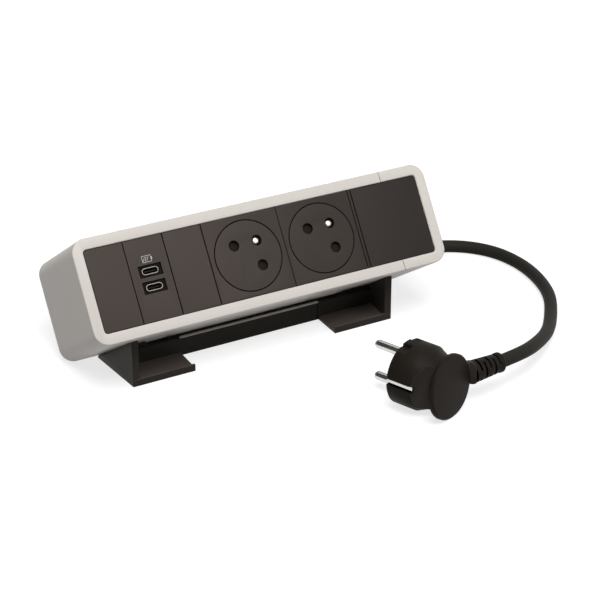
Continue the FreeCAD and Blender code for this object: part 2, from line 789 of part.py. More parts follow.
    floor = f"({CASE_DEPTH} - case_floor)"
    for name, (px, py) in zip(("live", "neutral"), pins):
        reach = "(pin_radius + jaw_play + jaw_leaf)"
        block = span(f"{name}_jaw_block_{k}", (f"{px} - {reach}", f"{px} + {reach}"),
                     (f"{py} - jaw_width / 2", f"{py} + jaw_width / 2"),
                     (f"0 - {floor}", f"0 - {floor} + jaw_height"))
        gap = span(f"{name}_jaw_gap_{k}",
                   (f"{px} - {reach} + jaw_leaf", f"{px} + {reach} - jaw_leaf"),
                   (f"{py} - jaw_width", f"{py} + jaw_width"),
                   (f"0 - {floor} + jaw_leaf", f"0 - {floor} + jaw_height + 1"))
        tail = span(f"{name}_tail_{k}", (f"{px} - tail_width / 2", f"{px} + tail_width / 2"),
                    (f"{py} - jaw_leaf / 2", f"{py} + jaw_leaf / 2"),
                    (f"0 - {STRIP_DEPTH}", f"0 - {floor} + jaw_leaf / 2"))
        jaw = fuse(f"{name}_jaw_{k}", cut(f"{name}_jaw_cut_{k}", block, gap), tail)
        keep(f"{name}_contact_{k}", jaw, lean)

    tip = "(earth_tip_depth + pin_radius)"
    shaft = rod(f"earth_shaft_{k}", (*earth, f"0 - {EARTH_STRIP_DEPTH}"), "pin_radius",
                f"{EARTH_STRIP_DEPTH} - {tip}")
    dome = ball(f"earth_dome_{k}", (*earth, f"0 - {tip}"), "pin_radius")
    collar = rod(f"earth_collar_{k}", (*earth, f"0 - {floor}"), "pin_radius + 1.4", "jaw_leaf")
    keep(f"earth_pin_{k}", fuse(f"earth_{k}", shaft, dome, collar), lean)

    coil_start = f"({clip_top} + clip_thickness + spring_wire / 2)"
    helix = doc.addObject("Part::Helix", f"spring_line_{k}")
    bind(helix, Radius="spring_radius", Height=f"{floor} - spring_wire / 2 - {coil_start}",
         Pitch=f"({floor} - spring_wire / 2 - {coil_start}) / spring_turns")
    put(helix, x, MIDDLE, f"0 - {floor} + spring_wire / 2")
    section = doc.addObject("Part::Circle", f"spring_section_{k}")
    bind(section, Radius="spring_wire / 2")
    section.Placement = FreeCAD.Placement(FreeCAD.Vector(0, 0, 0), TURNS["y"])
    put(section, f"{x} + spring_radius", MIDDLE, f"0 - {floor} + spring_wire / 2")
    sweep = doc.addObject("Part::Sweep", f"spring_{k}")
    sweep.Sections = [section]
    sweep.Spine = (helix, ["Edge1"])
    sweep.Solid = True
    sweep.Frenet = True
    keep(f"disc_spring_{k}", sweep, lean)


TERMINAL_LEFT = f"({JOINT} + plate_gap)"
TERMINAL_RIGHT = f"({JOINT} + plate_gap + terminal_width)"
STRIP_END = f"({JOINT} + terminal_width / 2)"
LIVE_Y = f"({MIDDLE} + strip_offset)"
NEUTRAL_Y = f"({MIDDLE} - strip_offset)"
EARTH_Y = f"({MIDDLE} + earth_offset)"


def strip_bar(name, y, depth, start):
    return span(name, (start, STRIP_END), (f"{y} - strip_breadth / 2", f"{y} + strip_breadth / 2"),
                (f"0 - {depth} - strip_thickness", f"0 - {depth}"))


def make_strips():
    """The copper strips that join both sockets and the charger to the terminals."""
    start = f"({PORT_X} - 2)"
    for name, y, sign in (("live", LIVE_Y, "-"), ("neutral", NEUTRAL_Y, "+")):
        other = {"-": "+", "+": "-"}[sign]
        tabs = []
        for k, x in enumerate(SOCKETS):
            px, py = f"({x} {sign} {PIN_OFFSET})", f"({MIDDLE} {other} {PIN_OFFSET})"
            ends = (f"{py} - 1.3", y) if name == "live" else (y, f"{py} + 1.3")
            tabs.append(span(f"{name}_tab_{k}", (f"{px} - tail_width / 2", f"{px} + tail_width / 2"),
                             ends, (f"0 - {STRIP_DEPTH} - strip_thickness", f"0 - {STRIP_DEPTH}")))
        bar = strip_bar(f"{name}_bar", y, STRIP_DEPTH, start)
        keep(f"{name}_strip", fuse(f"{name}_strip_whole", bar, *tabs), lean)
    start = f"({SOCKETS[0]} + earth_offset - strip_breadth / 2)"
    keep("earth_strip", strip_bar("earth_bar", EARTH_Y, EARTH_STRIP_DEPTH, start), lean)


TERMINALS = [(LIVE_Y, STRIP_DEPTH), (EARTH_Y, EARTH_STRIP_DEPTH), (NEUTRAL_Y, STRIP_DEPTH)]
TERMINAL_FRONT = f"({STRIP_DEPTH} - terminal_cover)"
TERMINAL_BACK = f"({EARTH_STRIP_DEPTH} + strip_thickness + terminal_base)"


def make_terminals():
    block = span("terminal_body", (TERMINAL_LEFT, TERMINAL_RIGHT),
                 (f"{NEUTRAL_Y} - terminal_edge", f"{LIVE_Y} + terminal_edge"),
                 (f"0 - {TERMINAL_BACK}", f"0 - {TERMINAL_FRONT}"))
    leg = span("terminal_leg", (TERMINAL_LEFT, TERMINAL_RIGHT), (f"{MIDDLE} - 8", f"{MIDDLE} + 2"),
               (f"0 - {COVER_FRONT}", f"0 - {TERMINAL_BACK} + 1"))
    cuts = []
    screws = []
    screw_x = f"({JOINT} + terminal_width / 4 + plate_gap)"
    for k, (y, depth) in enumerate(TERMINALS):
        cuts.append(span(f"terminal_slot_{k}", (f"{TERMINAL_LEFT} - 1", f"{STRIP_END} + slot_gap"),
                         (f"{y} - strip_breadth / 2 - slot_gap", f"{y} + strip_breadth / 2 + slot_gap"),
                         (f"0 - {depth} - strip_thickness - slot_gap", f"0 - {depth} + slot_gap")))
        entry = (f"{STRIP_END} - 0.5", y, f"0 - {depth} - strip_thickness / 2")
        cuts.append(rod(f"terminal_entry_{k}", entry, "core_radius + slot_gap", "terminal_width", "x"))
        cuts.append(rod(f"terminal_screw_hole_{k}", (screw_x, y, f"0 - {depth}"),
                        "screw_radius + pilot_play", depth))
        screws.append(rod(f"terminal_screw_{k}", (screw_x, y, f"0 - {depth}"), "screw_radius",
                          f"{depth} - {TERMINAL_FRONT} + 1"))
    keep("terminal_block", cut("terminals", fuse("terminal_solid", block, leg), *cuts), lean)
    keep("terminal_screws", group("terminal_screw_set", *screws), lean)


def run_between(name, start, end, axis):
    """A straight stretch of core between two points that differ along one axis."""
    low = list(start)
    low[axis] = f"min({start[axis]}; {end[axis]})"
    length = f"abs({end[axis]} - {start[axis]})"
    return rod(name, low, "core_radius", length, "xyz"[axis])


def core_path(name, corner, start, turn, end):
    """An insulated core: forward to its level, across, then sideways into its terminal."""
    return fuse(
        f"{name}_core",
        run_between(f"{name}_forward", start, corner, 2),
        ball(f"{name}_first_bend", corner, "core_radius"),
        run_between(f"{name}_across", corner, turn, 1),
        ball(f"{name}_second_bend", turn, "core_radius"),
        run_between(f"{name}_sideways", turn, end, 0),
    )


def make_cap():
    """The right-hand end: a box of the same section that holds the cord's end."""
    outer = span("cap_outer", (JOINT, RIGHT), (0, HEIGHT), ("0 - body_depth", 0))
    outer = soften("cap_rounded", outer, S["corner_radius"], corners_at([right]))
    cavity = span("cap_cavity", (f"{JOINT} - wall", f"{RIGHT} - wall"),
                  ("wall", f"{HEIGHT} - wall"), (f"0 - {COVER_FRONT}", f"0 - {FRAME_BACK}"))
    cavity = soften("cap_cavity_rounded", cavity, inner_radius, corners_at([right - S["wall"]]))
    mouth = span("cap_mouth", (f"{JOINT} - wall", f"{RIGHT} - rim_width"),
                 ("rim_width", f"{HEIGHT} - rim_width"), (f"0 - {SEAT}", "wall"))
    mouth = soften("cap_mouth_rounded", mouth, S["opening_radius"],
                   corners_at([right - S["rim_width"]]))
    slots = leg_boxes("cap_slot", LEG_PLACES["end_cap_plate"], "leg_gap", "(frame_thickness + 1)")
    exit_hole = rod("cap_exit", (EXIT_X, EXIT_UP, "0 - body_depth - 1"), "boot_root",
                    "wall + 2")
    shell = cut("cap_shell", outer, cavity, mouth, *slots, exit_hole)
    tongues = [
        span(f"cap_tongue_{k}", (f"{JOINT} - 3", f"{JOINT} + 6"), y, ("0 - 50", "0 - 12"))
        for k, y in enumerate(
            (("wall + plate_gap", "wall + plate_gap + 1.4"),
             (f"{HEIGHT} - wall - plate_gap - 1.4", f"{HEIGHT} - wall - plate_gap"))
        )
    ]
    roots = [
        span(f"cap_tongue_root_{k}", (JOINT, f"{JOINT} + 6"), y, ("0 - 50", "0 - 12"))
        for k, y in enumerate((("wall / 2", "wall + 1"), (f"{HEIGHT} - wall - 1", f"{HEIGHT} - wall / 2")))
    ]
    rest = span("cap_clamp_rest", (f"{EXIT_X} + cord_radius", f"{RIGHT} - wall / 2"),
                (f"{EXIT_UP} - {CLAMP_HALF}", f"{HEIGHT} - wall / 2"),
                (f"0 - {CLAMP_BACK}", f"0 - {CLAMP_FRONT}"))
    solid = fuse("cap_solid", shell, *tongues, *roots, rest)
    screw_ys = [f"({EXIT_UP} {sign} (cord_radius + screw_radius + clamp_edge))" for sign in "-+"]
    middle = f"(0 - ({CLAMP_FRONT} + {CLAMP_BACK}) / 2)"
    pilots = [
        rod(f"clamp_pilot_{k}", (EXIT_X, y, middle), "screw_radius + pilot_play",
            "cord_radius + 4.2", "x")
        for k, y in enumerate(screw_ys)
    ]
    keep("right_end_cap", cut("cap", solid, *pilots), lean)

    bar_left = f"({EXIT_X} - cord_radius - clamp_thickness)"
    bar = span("clamp_plate", (bar_left, f"{EXIT_X} - cord_radius"),
               (f"{EXIT_UP} - {CLAMP_HALF}", f"{EXIT_UP} + {CLAMP_HALF}"),
               (f"0 - {CLAMP_BACK}", f"0 - {CLAMP_FRONT}"))
    holes = [
        rod(f"clamp_hole_{k}", (f"{bar_left} - 1", y, middle), "screw_radius + pilot_play",
            "clamp_thickness + 2", "x")
        for k, y in enumerate(screw_ys)
    ]
    keep("cord_clamp", cut("clamp", bar, *holes), lean)
    screws = []
    for k, y in enumerate(screw_ys):
        shaft = rod(f"clamp_screw_shaft_{k}", (bar_left, y, middle), "screw_radius",
                    "clamp_thickness + 2 * cord_radius + 3.5", "x")
        head = rod(f"clamp_screw_head_{k}", (bar_left, y, middle), "screw_head_radius",
                   "screw_head_height", "-x")
        screws.append(fuse(f"clamp_screw_{k}", shaft, head))
    keep("cord_clamp_screws", group("clamp_screw_set", *screws), lean)

    core_end = f"({STRIP_END} + 0.5)"
    start = f"(0 - {CLAMP_FRONT} + 2)"
    for name, dx, dy, y, depth in (
        ("live", "-1.5", "1.0", LIVE_Y, STRIP_DEPTH),
        ("neutral", "-0.6", "-2.2", NEUTRAL_Y, STRIP_DEPTH),
        ("earth", "2.2", "0.9", EARTH_Y, EARTH_STRIP_DEPTH),
    ):
        level = f"(0 - {depth} - strip_thickness / 2)"
        corner = (f"({EXIT_X} + {dx})", f"({EXIT_UP} + {dy})", level)
        ends = ((corner[0], corner[1], start), (corner[0], y, level), (core_end, y, level))
        keep(f"{name}_core_wire", core_path(name, corner, *ends), lean)
    tail = rod("cord_tail_sheath", (EXIT_X, EXIT_UP, "0 - body_depth - boot_length"),
               "cord_radius", f"body_depth + boot_length - {CLAMP_FRONT} + 2")
    keep("cord_inner_end", tail, lean)


def revolve(label, points, frame, vertical=True, cuts=()):
    """A turned piece: its half section, drawn as (radius, height) points, spun about the axis."""
    body = doc.addObject("PartDesign::Body", f"{label}_turned")
    sketch = body.newObject("Sketcher::SketchObject", f"{label}_section")
    role = "XZ_Plane" if vertical else "XY_Plane"
    plane = [f for f in body.Origin.OriginFeatures if f.Role == role][0]
    sketch.AttachmentSupport = [(plane, "")]
    sketch.MapMode = "FlatFace"
    spots = [FreeCAD.Vector(8.0 + k, 5.0 + 2 * k, 0) for k in range(len(points))]
    for k, spot in enumerate(spots):
        sketch.addGeometry(Part.LineSegment(spot, spots[(k + 1) % len(spots)]), False)
    for k in range(len(points)):
        sketch.addConstraint(Sketcher.Constraint("Coincident", k, 2, (k + 1) % len(points), 1))
    for k, (radius, up) in enumerate(points):
        for kind, text in (("DistanceX", radius), ("DistanceY", up)):
            number = sketch.addConstraint(Sketcher.Constraint(kind, -1, 1, k, 1, 1.0))
            sketch.setExpression(f"Constraints[{number}]", linked(text))
    turn = body.newObject("PartDesign::Revolution", f"{label}_spin")
    turn.Profile = sketch
    turn.ReferenceAxis = (sketch, ["V_Axis"])
    turn.Angle = 360
    thing = body
    if cuts:
        thing = cut(f"{label}_cut", body, *cuts)
    return keep(label, thing, frame)


def make_boot():
    """The cord's tapered sleeve, which grips the cap's rear wall."""
    start = "(0 - body_depth)"
    inner, end = "(0 - body_depth + wall)", "(0 - body_depth - boot_length)"
    bore = "(cord_radius + boot_bore_gap)"
    flange = 1.6
    points = [
        (bore, f"{inner} + {flange}"),
        ("boot_flange", f"{inner} + {flange}"),
        ("boot_flange", inner),
        ("boot_root", inner),
        ("boot_root", start),
        ("boot_flange", start),
        ("boot_flange", f"{start} - 2"),
        ("boot_root", f"{start} - 2 - (boot_flange - boot_root)"),
        ("boot_end", end),
        (bore, end),
    ]
    rings = []
    for k in range(3):
        at = f"{start} - {7.5 + 4.2 * k}"
        ring = rod(f"boot_groove_{k}", (EXIT_X, EXIT_UP, at), "boot_flange", 1.3)
        core = rod(f"boot_core_{k}", (EXIT_X, EXIT_UP, f"{at} - 1"), "cord_radius + 0.9", 3.3)
        rings.append(cut(f"boot_ring_{k}", ring, core))
    body = revolve("boot_section", points, lambda thing: put(thing, EXIT_X, EXIT_UP, 0))
    del PIECES["boot_section"]
    keep("cord_boot", cut("boot", body, *rings), lean)


def make_bracket():
    """The wedge that carries the block: side walls, feet, front bar, rear rail and screw tabs."""
    slope = "tan(tilt * 1deg)"
    low_x, high_x = BRACKET_LEFT, BRACKET_RIGHT
    back = f"({FACE_Y} + body_depth * cos(tilt * 1deg))"

    def under(y):
        """The height of the block's underside above the desk at y."""
        return f"({FACE_Z} - (({y}) - {FACE_Y}) * {slope})"

    def wall_prism(name, x0, width, y0, y1, drop="0"):
        """A plate across x whose outline is the wedge between the desk and the underside."""
        body = doc.addObject("PartDesign::Body", f"{name}_body")
        sketch = body.newObject("Sketcher::SketchObject", f"{name}_outline")
        plane = [f for f in body.Origin.OriginFeatures if f.Role == "YZ_Plane"][0]
        sketch.AttachmentSupport = [(plane, "")]
        sketch.MapMode = "FlatFace"
        tops = [f"({under(y)} - {drop})" for y in (y1, y0)]
        corners = [(y0, "0"), (y1, "0"), (y1, tops[0]), (y0, tops[1])]
        spots = [(0, 1), (30, 1), (30, 8), (0, 20)]
        count = len(corners)
        for k in range(count):
            a, b = spots[k], spots[(k + 1) % count]
            sketch.addGeometry(
                Part.LineSegment(FreeCAD.Vector(*a, 0), FreeCAD.Vector(*b, 0)), False
            )
        for k in range(count):
            sketch.addConstraint(Sketcher.Constraint("Coincident", k, 2, (k + 1) % count, 1))
        for k, (y, z) in enumerate(corners):
            for kind, text in (("DistanceX", y), ("DistanceY", z)):
                number = sketch.addConstraint(Sketcher.Constraint(kind, -1, 1, k, 1, 1.0))
                sketch.setExpression(f"Constraints[{number}]", linked(text))
        pad = body.newObject("PartDesign::Pad", f"{name}_pad")
        pad.Profile = sketch
        bind(pad, Length=width)
        put(body, x0, 0, 0)
        return body

    def flare_out(wall, x, y, shift, side):
        """Turns a side wall about its front edge, so that its back end stands further out."""
        turn = float(side) * S["bracket_flare"]
        wall.Placement = FreeCAD.Placement(
            FreeCAD.Vector(0, 0, 0), FreeCAD.Rotation(FreeCAD.Vector(0, 0, 1), turn)
        )
        sine, cosine = "sin(bracket_flare * 1deg)", "cos(bracket_flare * 1deg)"
        put(wall, f"{x} + {side} * {y} * {sine} - {shift} * {cosine}",
            f"{y} - {y} * {cosine} + {shift} * {sine}", 0)

    front = BRACKET_FRONT
    rail_front = f"({back} - rail_depth)"
    wall_back = f"({back} - rail_play)"
    spread = f"(({rail_front} - {front}) * tan(bracket_flare * 1deg))"
    walls = [
        wall_prism("bracket_wall_left", low_x, "bracket_wall", front, wall_back, "inner_gap"),
        wall_prism("bracket_wall_right", high_x, "bracket_wall", front, wall_back, "inner_gap"),
        wall_prism("bracket_rail", f"{low_x} - {spread}", f"{high_x} - {low_x} + 2 * {spread}",
                   rail_front, wall_back),
    ]
    flare_out(walls[0], low_x, front, "0", "1")
    flare_out(walls[1], high_x, front, "bracket_wall", "-1")
    bar_y = f"({back} - bar_from_back)"
    inner_left = f"({low_x} + foot_width)"
    inner_right = f"({high_x} - foot_width)"
    parts = [
        span("bracket_bar", (f"{inner_left} - bar_thickness", f"{inner_right} + bar_thickness"),
             (bar_y, f"{bar_y} + bar_thickness"), ("0", "bar_height")),
    ]
    for name, x0, x1, wall_x in (
        ("left", low_x, inner_left, inner_left),
        ("right", inner_right, high_x, inner_right),
    ):
        parts.append(span(f"foot_{name}", (x0, x1), (front, f"{bar_y} + bar_thickness"),
                          ("0", "foot_thickness")))
        parts.append(span(f"foot_lip_{name}", (x0, x1), (front, f"{front} + lip_thickness"),
                          ("0", "lip_height")))
        parts.append(span(f"niche_{name}", (x0, x1), (bar_y, f"{bar_y} + bar_thickness"),
                          ("0", "bar_height")))
        side = f"{wall_x} - bar_thickness" if name == "left" else wall_x
        parts.append(span(f"rib_{name}", (side, f"{side} + bar_thickness"),
                          (bar_y, f"{rail_front} + 1"), ("0", f"{under(rail_front + ' + 1')} - slot_gap")))
    pieces = fuse("bracket_pieces", *walls, *parts)
    tabs = []
    tab_ends = (
        (f"({low_x} + inner_gap)", f"({BRACKET_SCREWS[0]} + tab_width / 2)"),
        (f"({BRACKET_SCREWS[1]} - tab_width / 2)", f"({high_x} - inner_gap)"),
    )
    for k, (x, ends) in enumerate(zip(BRACKET_SCREWS, tab_ends)):
        tab = span(f"tab_plate_{k}", ends,
                   ("0 - tab_thickness", "0"), (f"0 - {TAB_BACK}", f"0 - {TAB_FRONT}"))
        hole = rod(f"tab_hole_{k}", (x, "0 - tab_thickness - 1", f"0 - {TAB_MIDDLE}"),
                   "screw_radius + pilot_play", "tab_thickness + 2", "y")
        tab = cut(f"tab_{k}", tab, hole)
        lean(tab)
        tabs.append(tab)
    whole = fuse("bracket_whole", pieces, *tabs)
    recesses = []
    pads = []
    for name, x0, x1 in (("left", low_x, inner_left), ("right", inner_right, high_x)):
        area = ((f"{x0} + pad_inset", f"{x1} - pad_inset"),
                (f"{front} + pad_inset", f"{bar_y} - pad_inset"))
        recesses.append(span(f"pad_recess_{name}", *area, ("0 - 1", "pad_thickness")))
        pads.append(span(f"pad_{name}", *area, ("0", "pad_thickness")))
    keep("desk_bracket", cut("bracket", whole, *recesses), stand)
    keep("grip_pads", group("pads", *pads), stand)
    screws = [
        screw(f"bracket_screw_{k}", (x, "0 - tab_thickness", f"0 - {TAB_MIDDLE}"), "y")
        for k, x in enumerate(BRACKET_SCREWS)
    ]
    keep("bracket_screws", group("bracket_screw_set", *screws), lean)


def make_plug():
    """The angled plug: grip disc, neck, round body, two pins and the side earth contacts."""
    points = [
        ("0", "grip_thickness / 2"),
        ("neck_radius", "grip_thickness / 2"),
        ("neck_radius", "neck_end"),
        ("neck_radius + 1.6", "neck_end + 5.6"),
        ("plug_radius - 0.5", "shoulder_end - 0.9"),
        ("plug_radius", "shoulder_end"),
        ("plug_radius", "plug_length - plug_edge"),
        ("plug_radius - plug_edge", "plug_length"),
        ("0", "plug_length"),
    ]
    turned = revolve("plug_section", points, stand, vertical=False)
    del PIECES["plug_section"]
    points = [
        ("0", "0"),
        ("grip_radius - 0.9", "0"),
        ("grip_radius", "0.9"),
        ("grip_radius", "grip_thickness - 0.6"),
        ("grip_radius - 0.6", "grip_thickness"),
        ("0", "grip_thickness"),
    ]
    grip = revolve("grip_section", points, stand, vertical=False)
    del PIECES["grip_section"]
    grip.Placement = FreeCAD.Placement(
        FreeCAD.Vector(0, 0, 0), FreeCAD.Rotation(FreeCAD.Vector(-1, 0, 0), 6)
    )
    bind(grip, **{"Placement.Rotation.Angle": "grip_tilt"})

    aslant = FreeCAD.Rotation(FreeCAD.Vector(0, 0, 1), S["side_turn"])
    boss = rod("plug_side_boss", (0, 0, 0), "side_boss_radius", "side_boss_end", "x")
    boss.Placement = FreeCAD.Placement(FreeCAD.Vector(0, 0, 0), aslant * TURNS["x"])
    put(boss, 0, "side_boss_height", 0)
    behind = span("plug_boss_trim", ("0", "grip_radius + 0.4"), ("0 - side_boss_radius", "0.9"),
                  ("0 - side_boss_radius", "side_boss_radius"))
    whole = fuse("plug_whole", turned, grip, cut("plug_boss_trimmed", boss, behind))
    cuts = []
    for k, sign in enumerate("+-"):
        low = "(plug_radius - key_depth)" if sign == "+" else "(0 - plug_radius - 1)"
        for side, x in (("left", "0 - key_span / 2"), ("right", "key_width / 2")):
            cuts.append(box(f"plug_key_{side}_{k}", (x, "plug_length - key_length", low),
                            ("(key_span - key_width) / 2", "key_length + 1", "key_depth + 1")))
        x0 = "(0 - plug_radius - 1)" if sign == "-" else "(plug_radius - earth_clip_slot)"
        rise = "0 - earth_slot_rise" if sign == "+" else "earth_slot_rise"
        cuts.append(box(f"plug_clip_slot_{k}", (x0, "plug_length - earth_clip_length",
                                                f"{rise} - earth_slot_height / 2"),
                        ("earth_clip_slot + 1", "earth_clip_length + 1", "earth_slot_height")))
        cuts.append(rod(f"plug_pin_hole_{k}", (0, "plug_length - pin_root", f"0 {sign} pin_spread / 2"),
                        "pin_radius - pin_root_step + pilot_play", "pin_root + 1", "y"))
    cuts.append(rod("plug_earth_socket", ("0 - earth_socket_offset", "plug_length - earth_socket_depth", 0),
                    "earth_socket_radius", "earth_socket_depth + 1", "y"))
    keep("plug_body", cut("plug", whole, *cuts), lay_plug)

    pins = []
    for k, sign in enumerate("+-"):
        z = f"0 {sign} pin_spread / 2"
        root = rod(f"plug_pin_root_{k}", (0, "plug_length - pin_root", z),
                   "pin_radius - pin_root_step", "pin_root + 1", "y")
        shaft = rod(f"plug_pin_shaft_{k}", (0, "plug_length", z), "pin_radius",
                    "plug_pin_length - pin_radius", "y")
        tip = ball(f"plug_pin_tip_{k}", (0, "plug_length + plug_pin_length - pin_radius", z), "pin_radius")
        pins.append(fuse(f"plug_pin_{k}", root, shaft, tip))
    keep("plug_pins", group("plug_pin_pair", *pins), lay_plug)

    clips = []
    outside = "(plug_radius - 0.7)"
    inside = "(plug_radius - earth_clip_slot)"
    start = "(plug_length - earth_clip_length)"
    for k, sign in enumerate("+-"):
        low, high = (inside, outside) if sign == "+" else (f"(0 - {outside})", f"(0 - {inside})")
        strap_x = f"({high} - earth_clip_thickness)" if sign == "+" else low
        edge = "(earth_slot_rise + earth_slot_height / 2)"
        width = (f"{edge} - earth_clip_width", edge)
        if sign == "+":
            width = (f"0 - {edge}", f"earth_clip_width - {edge}")
        strap = span(f"clip_strap_{k}", (strap_x, f"{strap_x} + earth_clip_thickness"),
                     (start, "plug_length - 0.5"), width)
        foot = span(f"clip_foot_{k}", (low, high), (start, f"{start} + 1"), width)
        nose = span(f"clip_nose_{k}", (low, high), ("plug_length - 1.5", "plug_length - 0.5"), width)
        clips.append(fuse(f"earth_clip_{k}", strap, foot, nose))
    keep("plug_earth_clips", group("earth_clip_set", *clips), lay_plug)

    points = [
        ("cord_radius + boot_bore_gap", "side_boss_end"),
        ("plug_boot_root", "side_boss_end"),
        ("plug_boot_tip", "plug_boot_end - 2.4"),
        ("plug_boot_tip + plug_boot_collar", "plug_boot_end - 2"),
        ("plug_boot_tip + plug_boot_collar", "plug_boot_end - 0.4"),
        ("plug_boot_tip", "plug_boot_end"),
        ("cord_radius + boot_bore_gap", "plug_boot_end"),
    ]
    turned = revolve("plug_boot_section", points, stand)
    del PIECES["plug_boot_section"]
    slots = []
    wide = "(2 * plug_boot_root + 2)"
    deep = "(plug_boot_root + 1)"
    for k in range(5):
        at = f"(side_boss_end + relief_slot_start + {k} * relief_slot_step / 2)"
        for side in ("near", "far"):
            edge = "relief_slot_reach" if side == "near" else f"(0 - relief_slot_reach - {deep})"
            across = f"(0 - {wide} / 2)"
            if k % 2:
                corner, size = (across, edge, at), (wide, deep, "relief_slot_width")
            else:
                corner, size = (edge, across, at), (deep, wide, "relief_slot_width")
            block = box(f"plug_slot_{side}_{k}", corner, size)
            core = rod(f"plug_slot_core_{side}_{k}", (0, 0, f"{at} - 1"), "cord_radius + 0.7",
                       "relief_slot_width + 2")
            slots.append(cut(f"plug_groove_{side}_{k}", block, core))
    ribbed = cut("plug_boot_ribbed", turned, *slots)
    ribbed.Placement = FreeCAD.Placement(
        FreeCAD.Vector(0, 0, 0),
        FreeCAD.Rotation(FreeCAD.Vector(0, 0, 1), S["plug_turn"] + S["side_turn"])
        * FreeCAD.Rotation(FreeCAD.Vector(0, 1, 0), 90),
    )
    put(ribbed, "plug_x - side_boss_height * sin(plug_turn * 1deg)",
        "plug_y + side_boss_height * cos(plug_turn * 1deg)", "plug_radius")
    keep("plug_strain_relief", ribbed, stand)


# The cord's route outside the block, chosen by hand along its middle line.
LEAD_IN = [(95, 60.2, 18.3), (94.2, 69.2, 14.1), (92.4, 78.8, 11.8), (88.9, 88.2, 11.4)]
LEAD_OUT = [
    (50, 22.8, 3.75), (72, 22.2, 3.75), (94.5, 26, 3.75), (117, 32.5, 3.75), (139, 34.5, 3.75),
    (159.5, 26.4, 3.75), (174, 10, 3.75), (179.3, -11.3, 3.75), (177.5, -33.5, 3.75),
    (169.5, -55.5, 3.75), (154, -76, 3.75), (139, -97.5, 7.5), (118.5, -114, 13.2), (102, -122.8, 16.9),
]


def tube(label, points):
    """Straight runs joined by tangent arcs, each as large as its two runs allow."""
    points = [FreeCAD.Vector(*p) for p in points]
    runs = [(b - a).Length for a, b in zip(points, points[1:])]
    edges = []
    here = points[0]
    radii = []
    length = 0.0
    for k in range(1, len(points) - 1):
        into = (points[k] - points[k - 1]).normalize()
        away = (points[k + 1] - points[k]).normalize()
        turn = into.getAngle(away)
        setback = 0.45 * min(runs[k - 1], runs[k])
        radius = setback / math.tan(turn / 2)
        radii.append(round(radius, 1))
        start = points[k] - into * setback
        end = points[k] + away * setback
        inward = (away - into).normalize()
        middle = points[k] + inward * (radius / math.cos(turn / 2) - radius)
        edges.append(Part.LineSegment(here, start).toShape())
        edges.append(Part.Arc(start, middle, end).toShape())
        length += (start - here).Length + radius * turn
        here = end
    edges.append(Part.LineSegment(here, points[-1]).toShape())
    length += (points[-1] - here).Length
    path = Part.Wire(edges)
    first = (points[1] - points[0]).normalize()
    ring = Part.Wire([Part.makeCircle(S["cord_radius"], points[0], first)])
    solid = path.makePipeShell([ring], True, False)
    ratio = solid.Volume / (math.pi * S["cord_radius"] ** 2 * length)
    print(label, "length", round(length, 1), "volume ratio", round(ratio, 4), "radii", radii)
    thing = doc.addObject("Part::Feature", label)
    thing.Shape = solid
    return keep(label, thing, stand)


def make_cord():
    exit_axis = PIECES["cord_inner_end"].Links[0].Placement.Base
    boot_end = PIECES["cord_boot"].Placement.multVec(exit_axis)
    print("boot end", boot_end)
    tube("cord_from_block", [tuple(boot_end)] + LEAD_IN)
    heading = math.radians(S["plug_turn"] + S["side_turn"])
    turned = math.radians(S["plug_turn"])
    plug_end = (
        S["plug_x"] - S["side_boss_height"] * math.sin(turned) + S["plug_boot_end"] * math.cos(heading),
        S["plug_y"] + S["side_boss_height"] * math.cos(turned) + S["plug_boot_end"] * math.sin(heading),
        S["plug_radius"],
    )
    print("plug boot end", plug_end)
    tube("cord_to_plug", LEAD_OUT + [plug_end])

    def track(name, radius):
        bar = span(f"{name}_bar", ("coil_x - coil_straight / 2", "coil_x + coil_straight / 2"),
                   (f"coil_y - {radius}", f"coil_y + {radius}"), ("0", "coil_height"))
        ends = [
            rod(f"{name}_end_{k}", (f"coil_x {sign} coil_straight / 2", "coil_y", "0"), radius,
                "coil_height")
            for k, sign in enumerate("-+")
        ]
        return fuse(name, bar, *ends)

    outer = track("coil_outside", "coil_outer")
    tall = S["coil_height"]
    outer = soften("coil_rounded", outer, S["coil_edge"],
                   lambda p, q: near(p.z, q.z) and (near(p.z, 0) or near(p.z, tall)))
    inner = track("coil_inside", "coil_inner")
    ties = []
    beds = []
    y0, y1 = ("coil_y + coil_inner", "coil_y + coil_outer")
    for k, sign in enumerate("-+"):
        middle = f"(coil_x {sign} coil_straight / 3)"
        x = (f"{middle} - tie_width / 2", f"{middle} + tie_width / 2")
        strap = span(f"tie_outer_{k}", x, (f"{y0} - tie_thickness", f"{y1} + tie_thickness"),
                     ("0", "coil_height + tie_thickness"))
        space = span(f"tie_inner_{k}", (f"{middle} - tie_width", f"{middle} + tie_width"), (y0, y1),
                     ("tie_thickness", "coil_height"))
        ties.append(cut(f"tie_{k}", strap, space))
        beds.append(span(f"tie_bed_{k}", x, (f"{y0} - 1", f"{y1} + 1"), ("0 - 1", "tie_thickness")))
    keep("cord_coil", cut("coil", outer, inner, *beds), stand)
    keep("coil_ties", group("ties", *ties), stand)


make_housing()
make_rear_cover()
make_blanks()
make_frame()
make_charger()
for number, place in enumerate(SOCKETS, 1):
    make_socket(number, place)
make_strips()
make_terminals()
make_cap()
make_boot()
make_bracket()
make_plug()
doc.recompute()
make_cord()
doc.recompute()

for thing in doc.Objects:
    if "Invalid" in thing.State or "Error" in thing.State:
        raise RuntimeError(f"{thing.Name} is {thing.State}")
for label, thing in PIECES.items():
    if thing.Shape.isNull() or not thing.Shape.isValid() or not thing.Shape.Solids:
        raise RuntimeError(f"{label} has no valid solid")

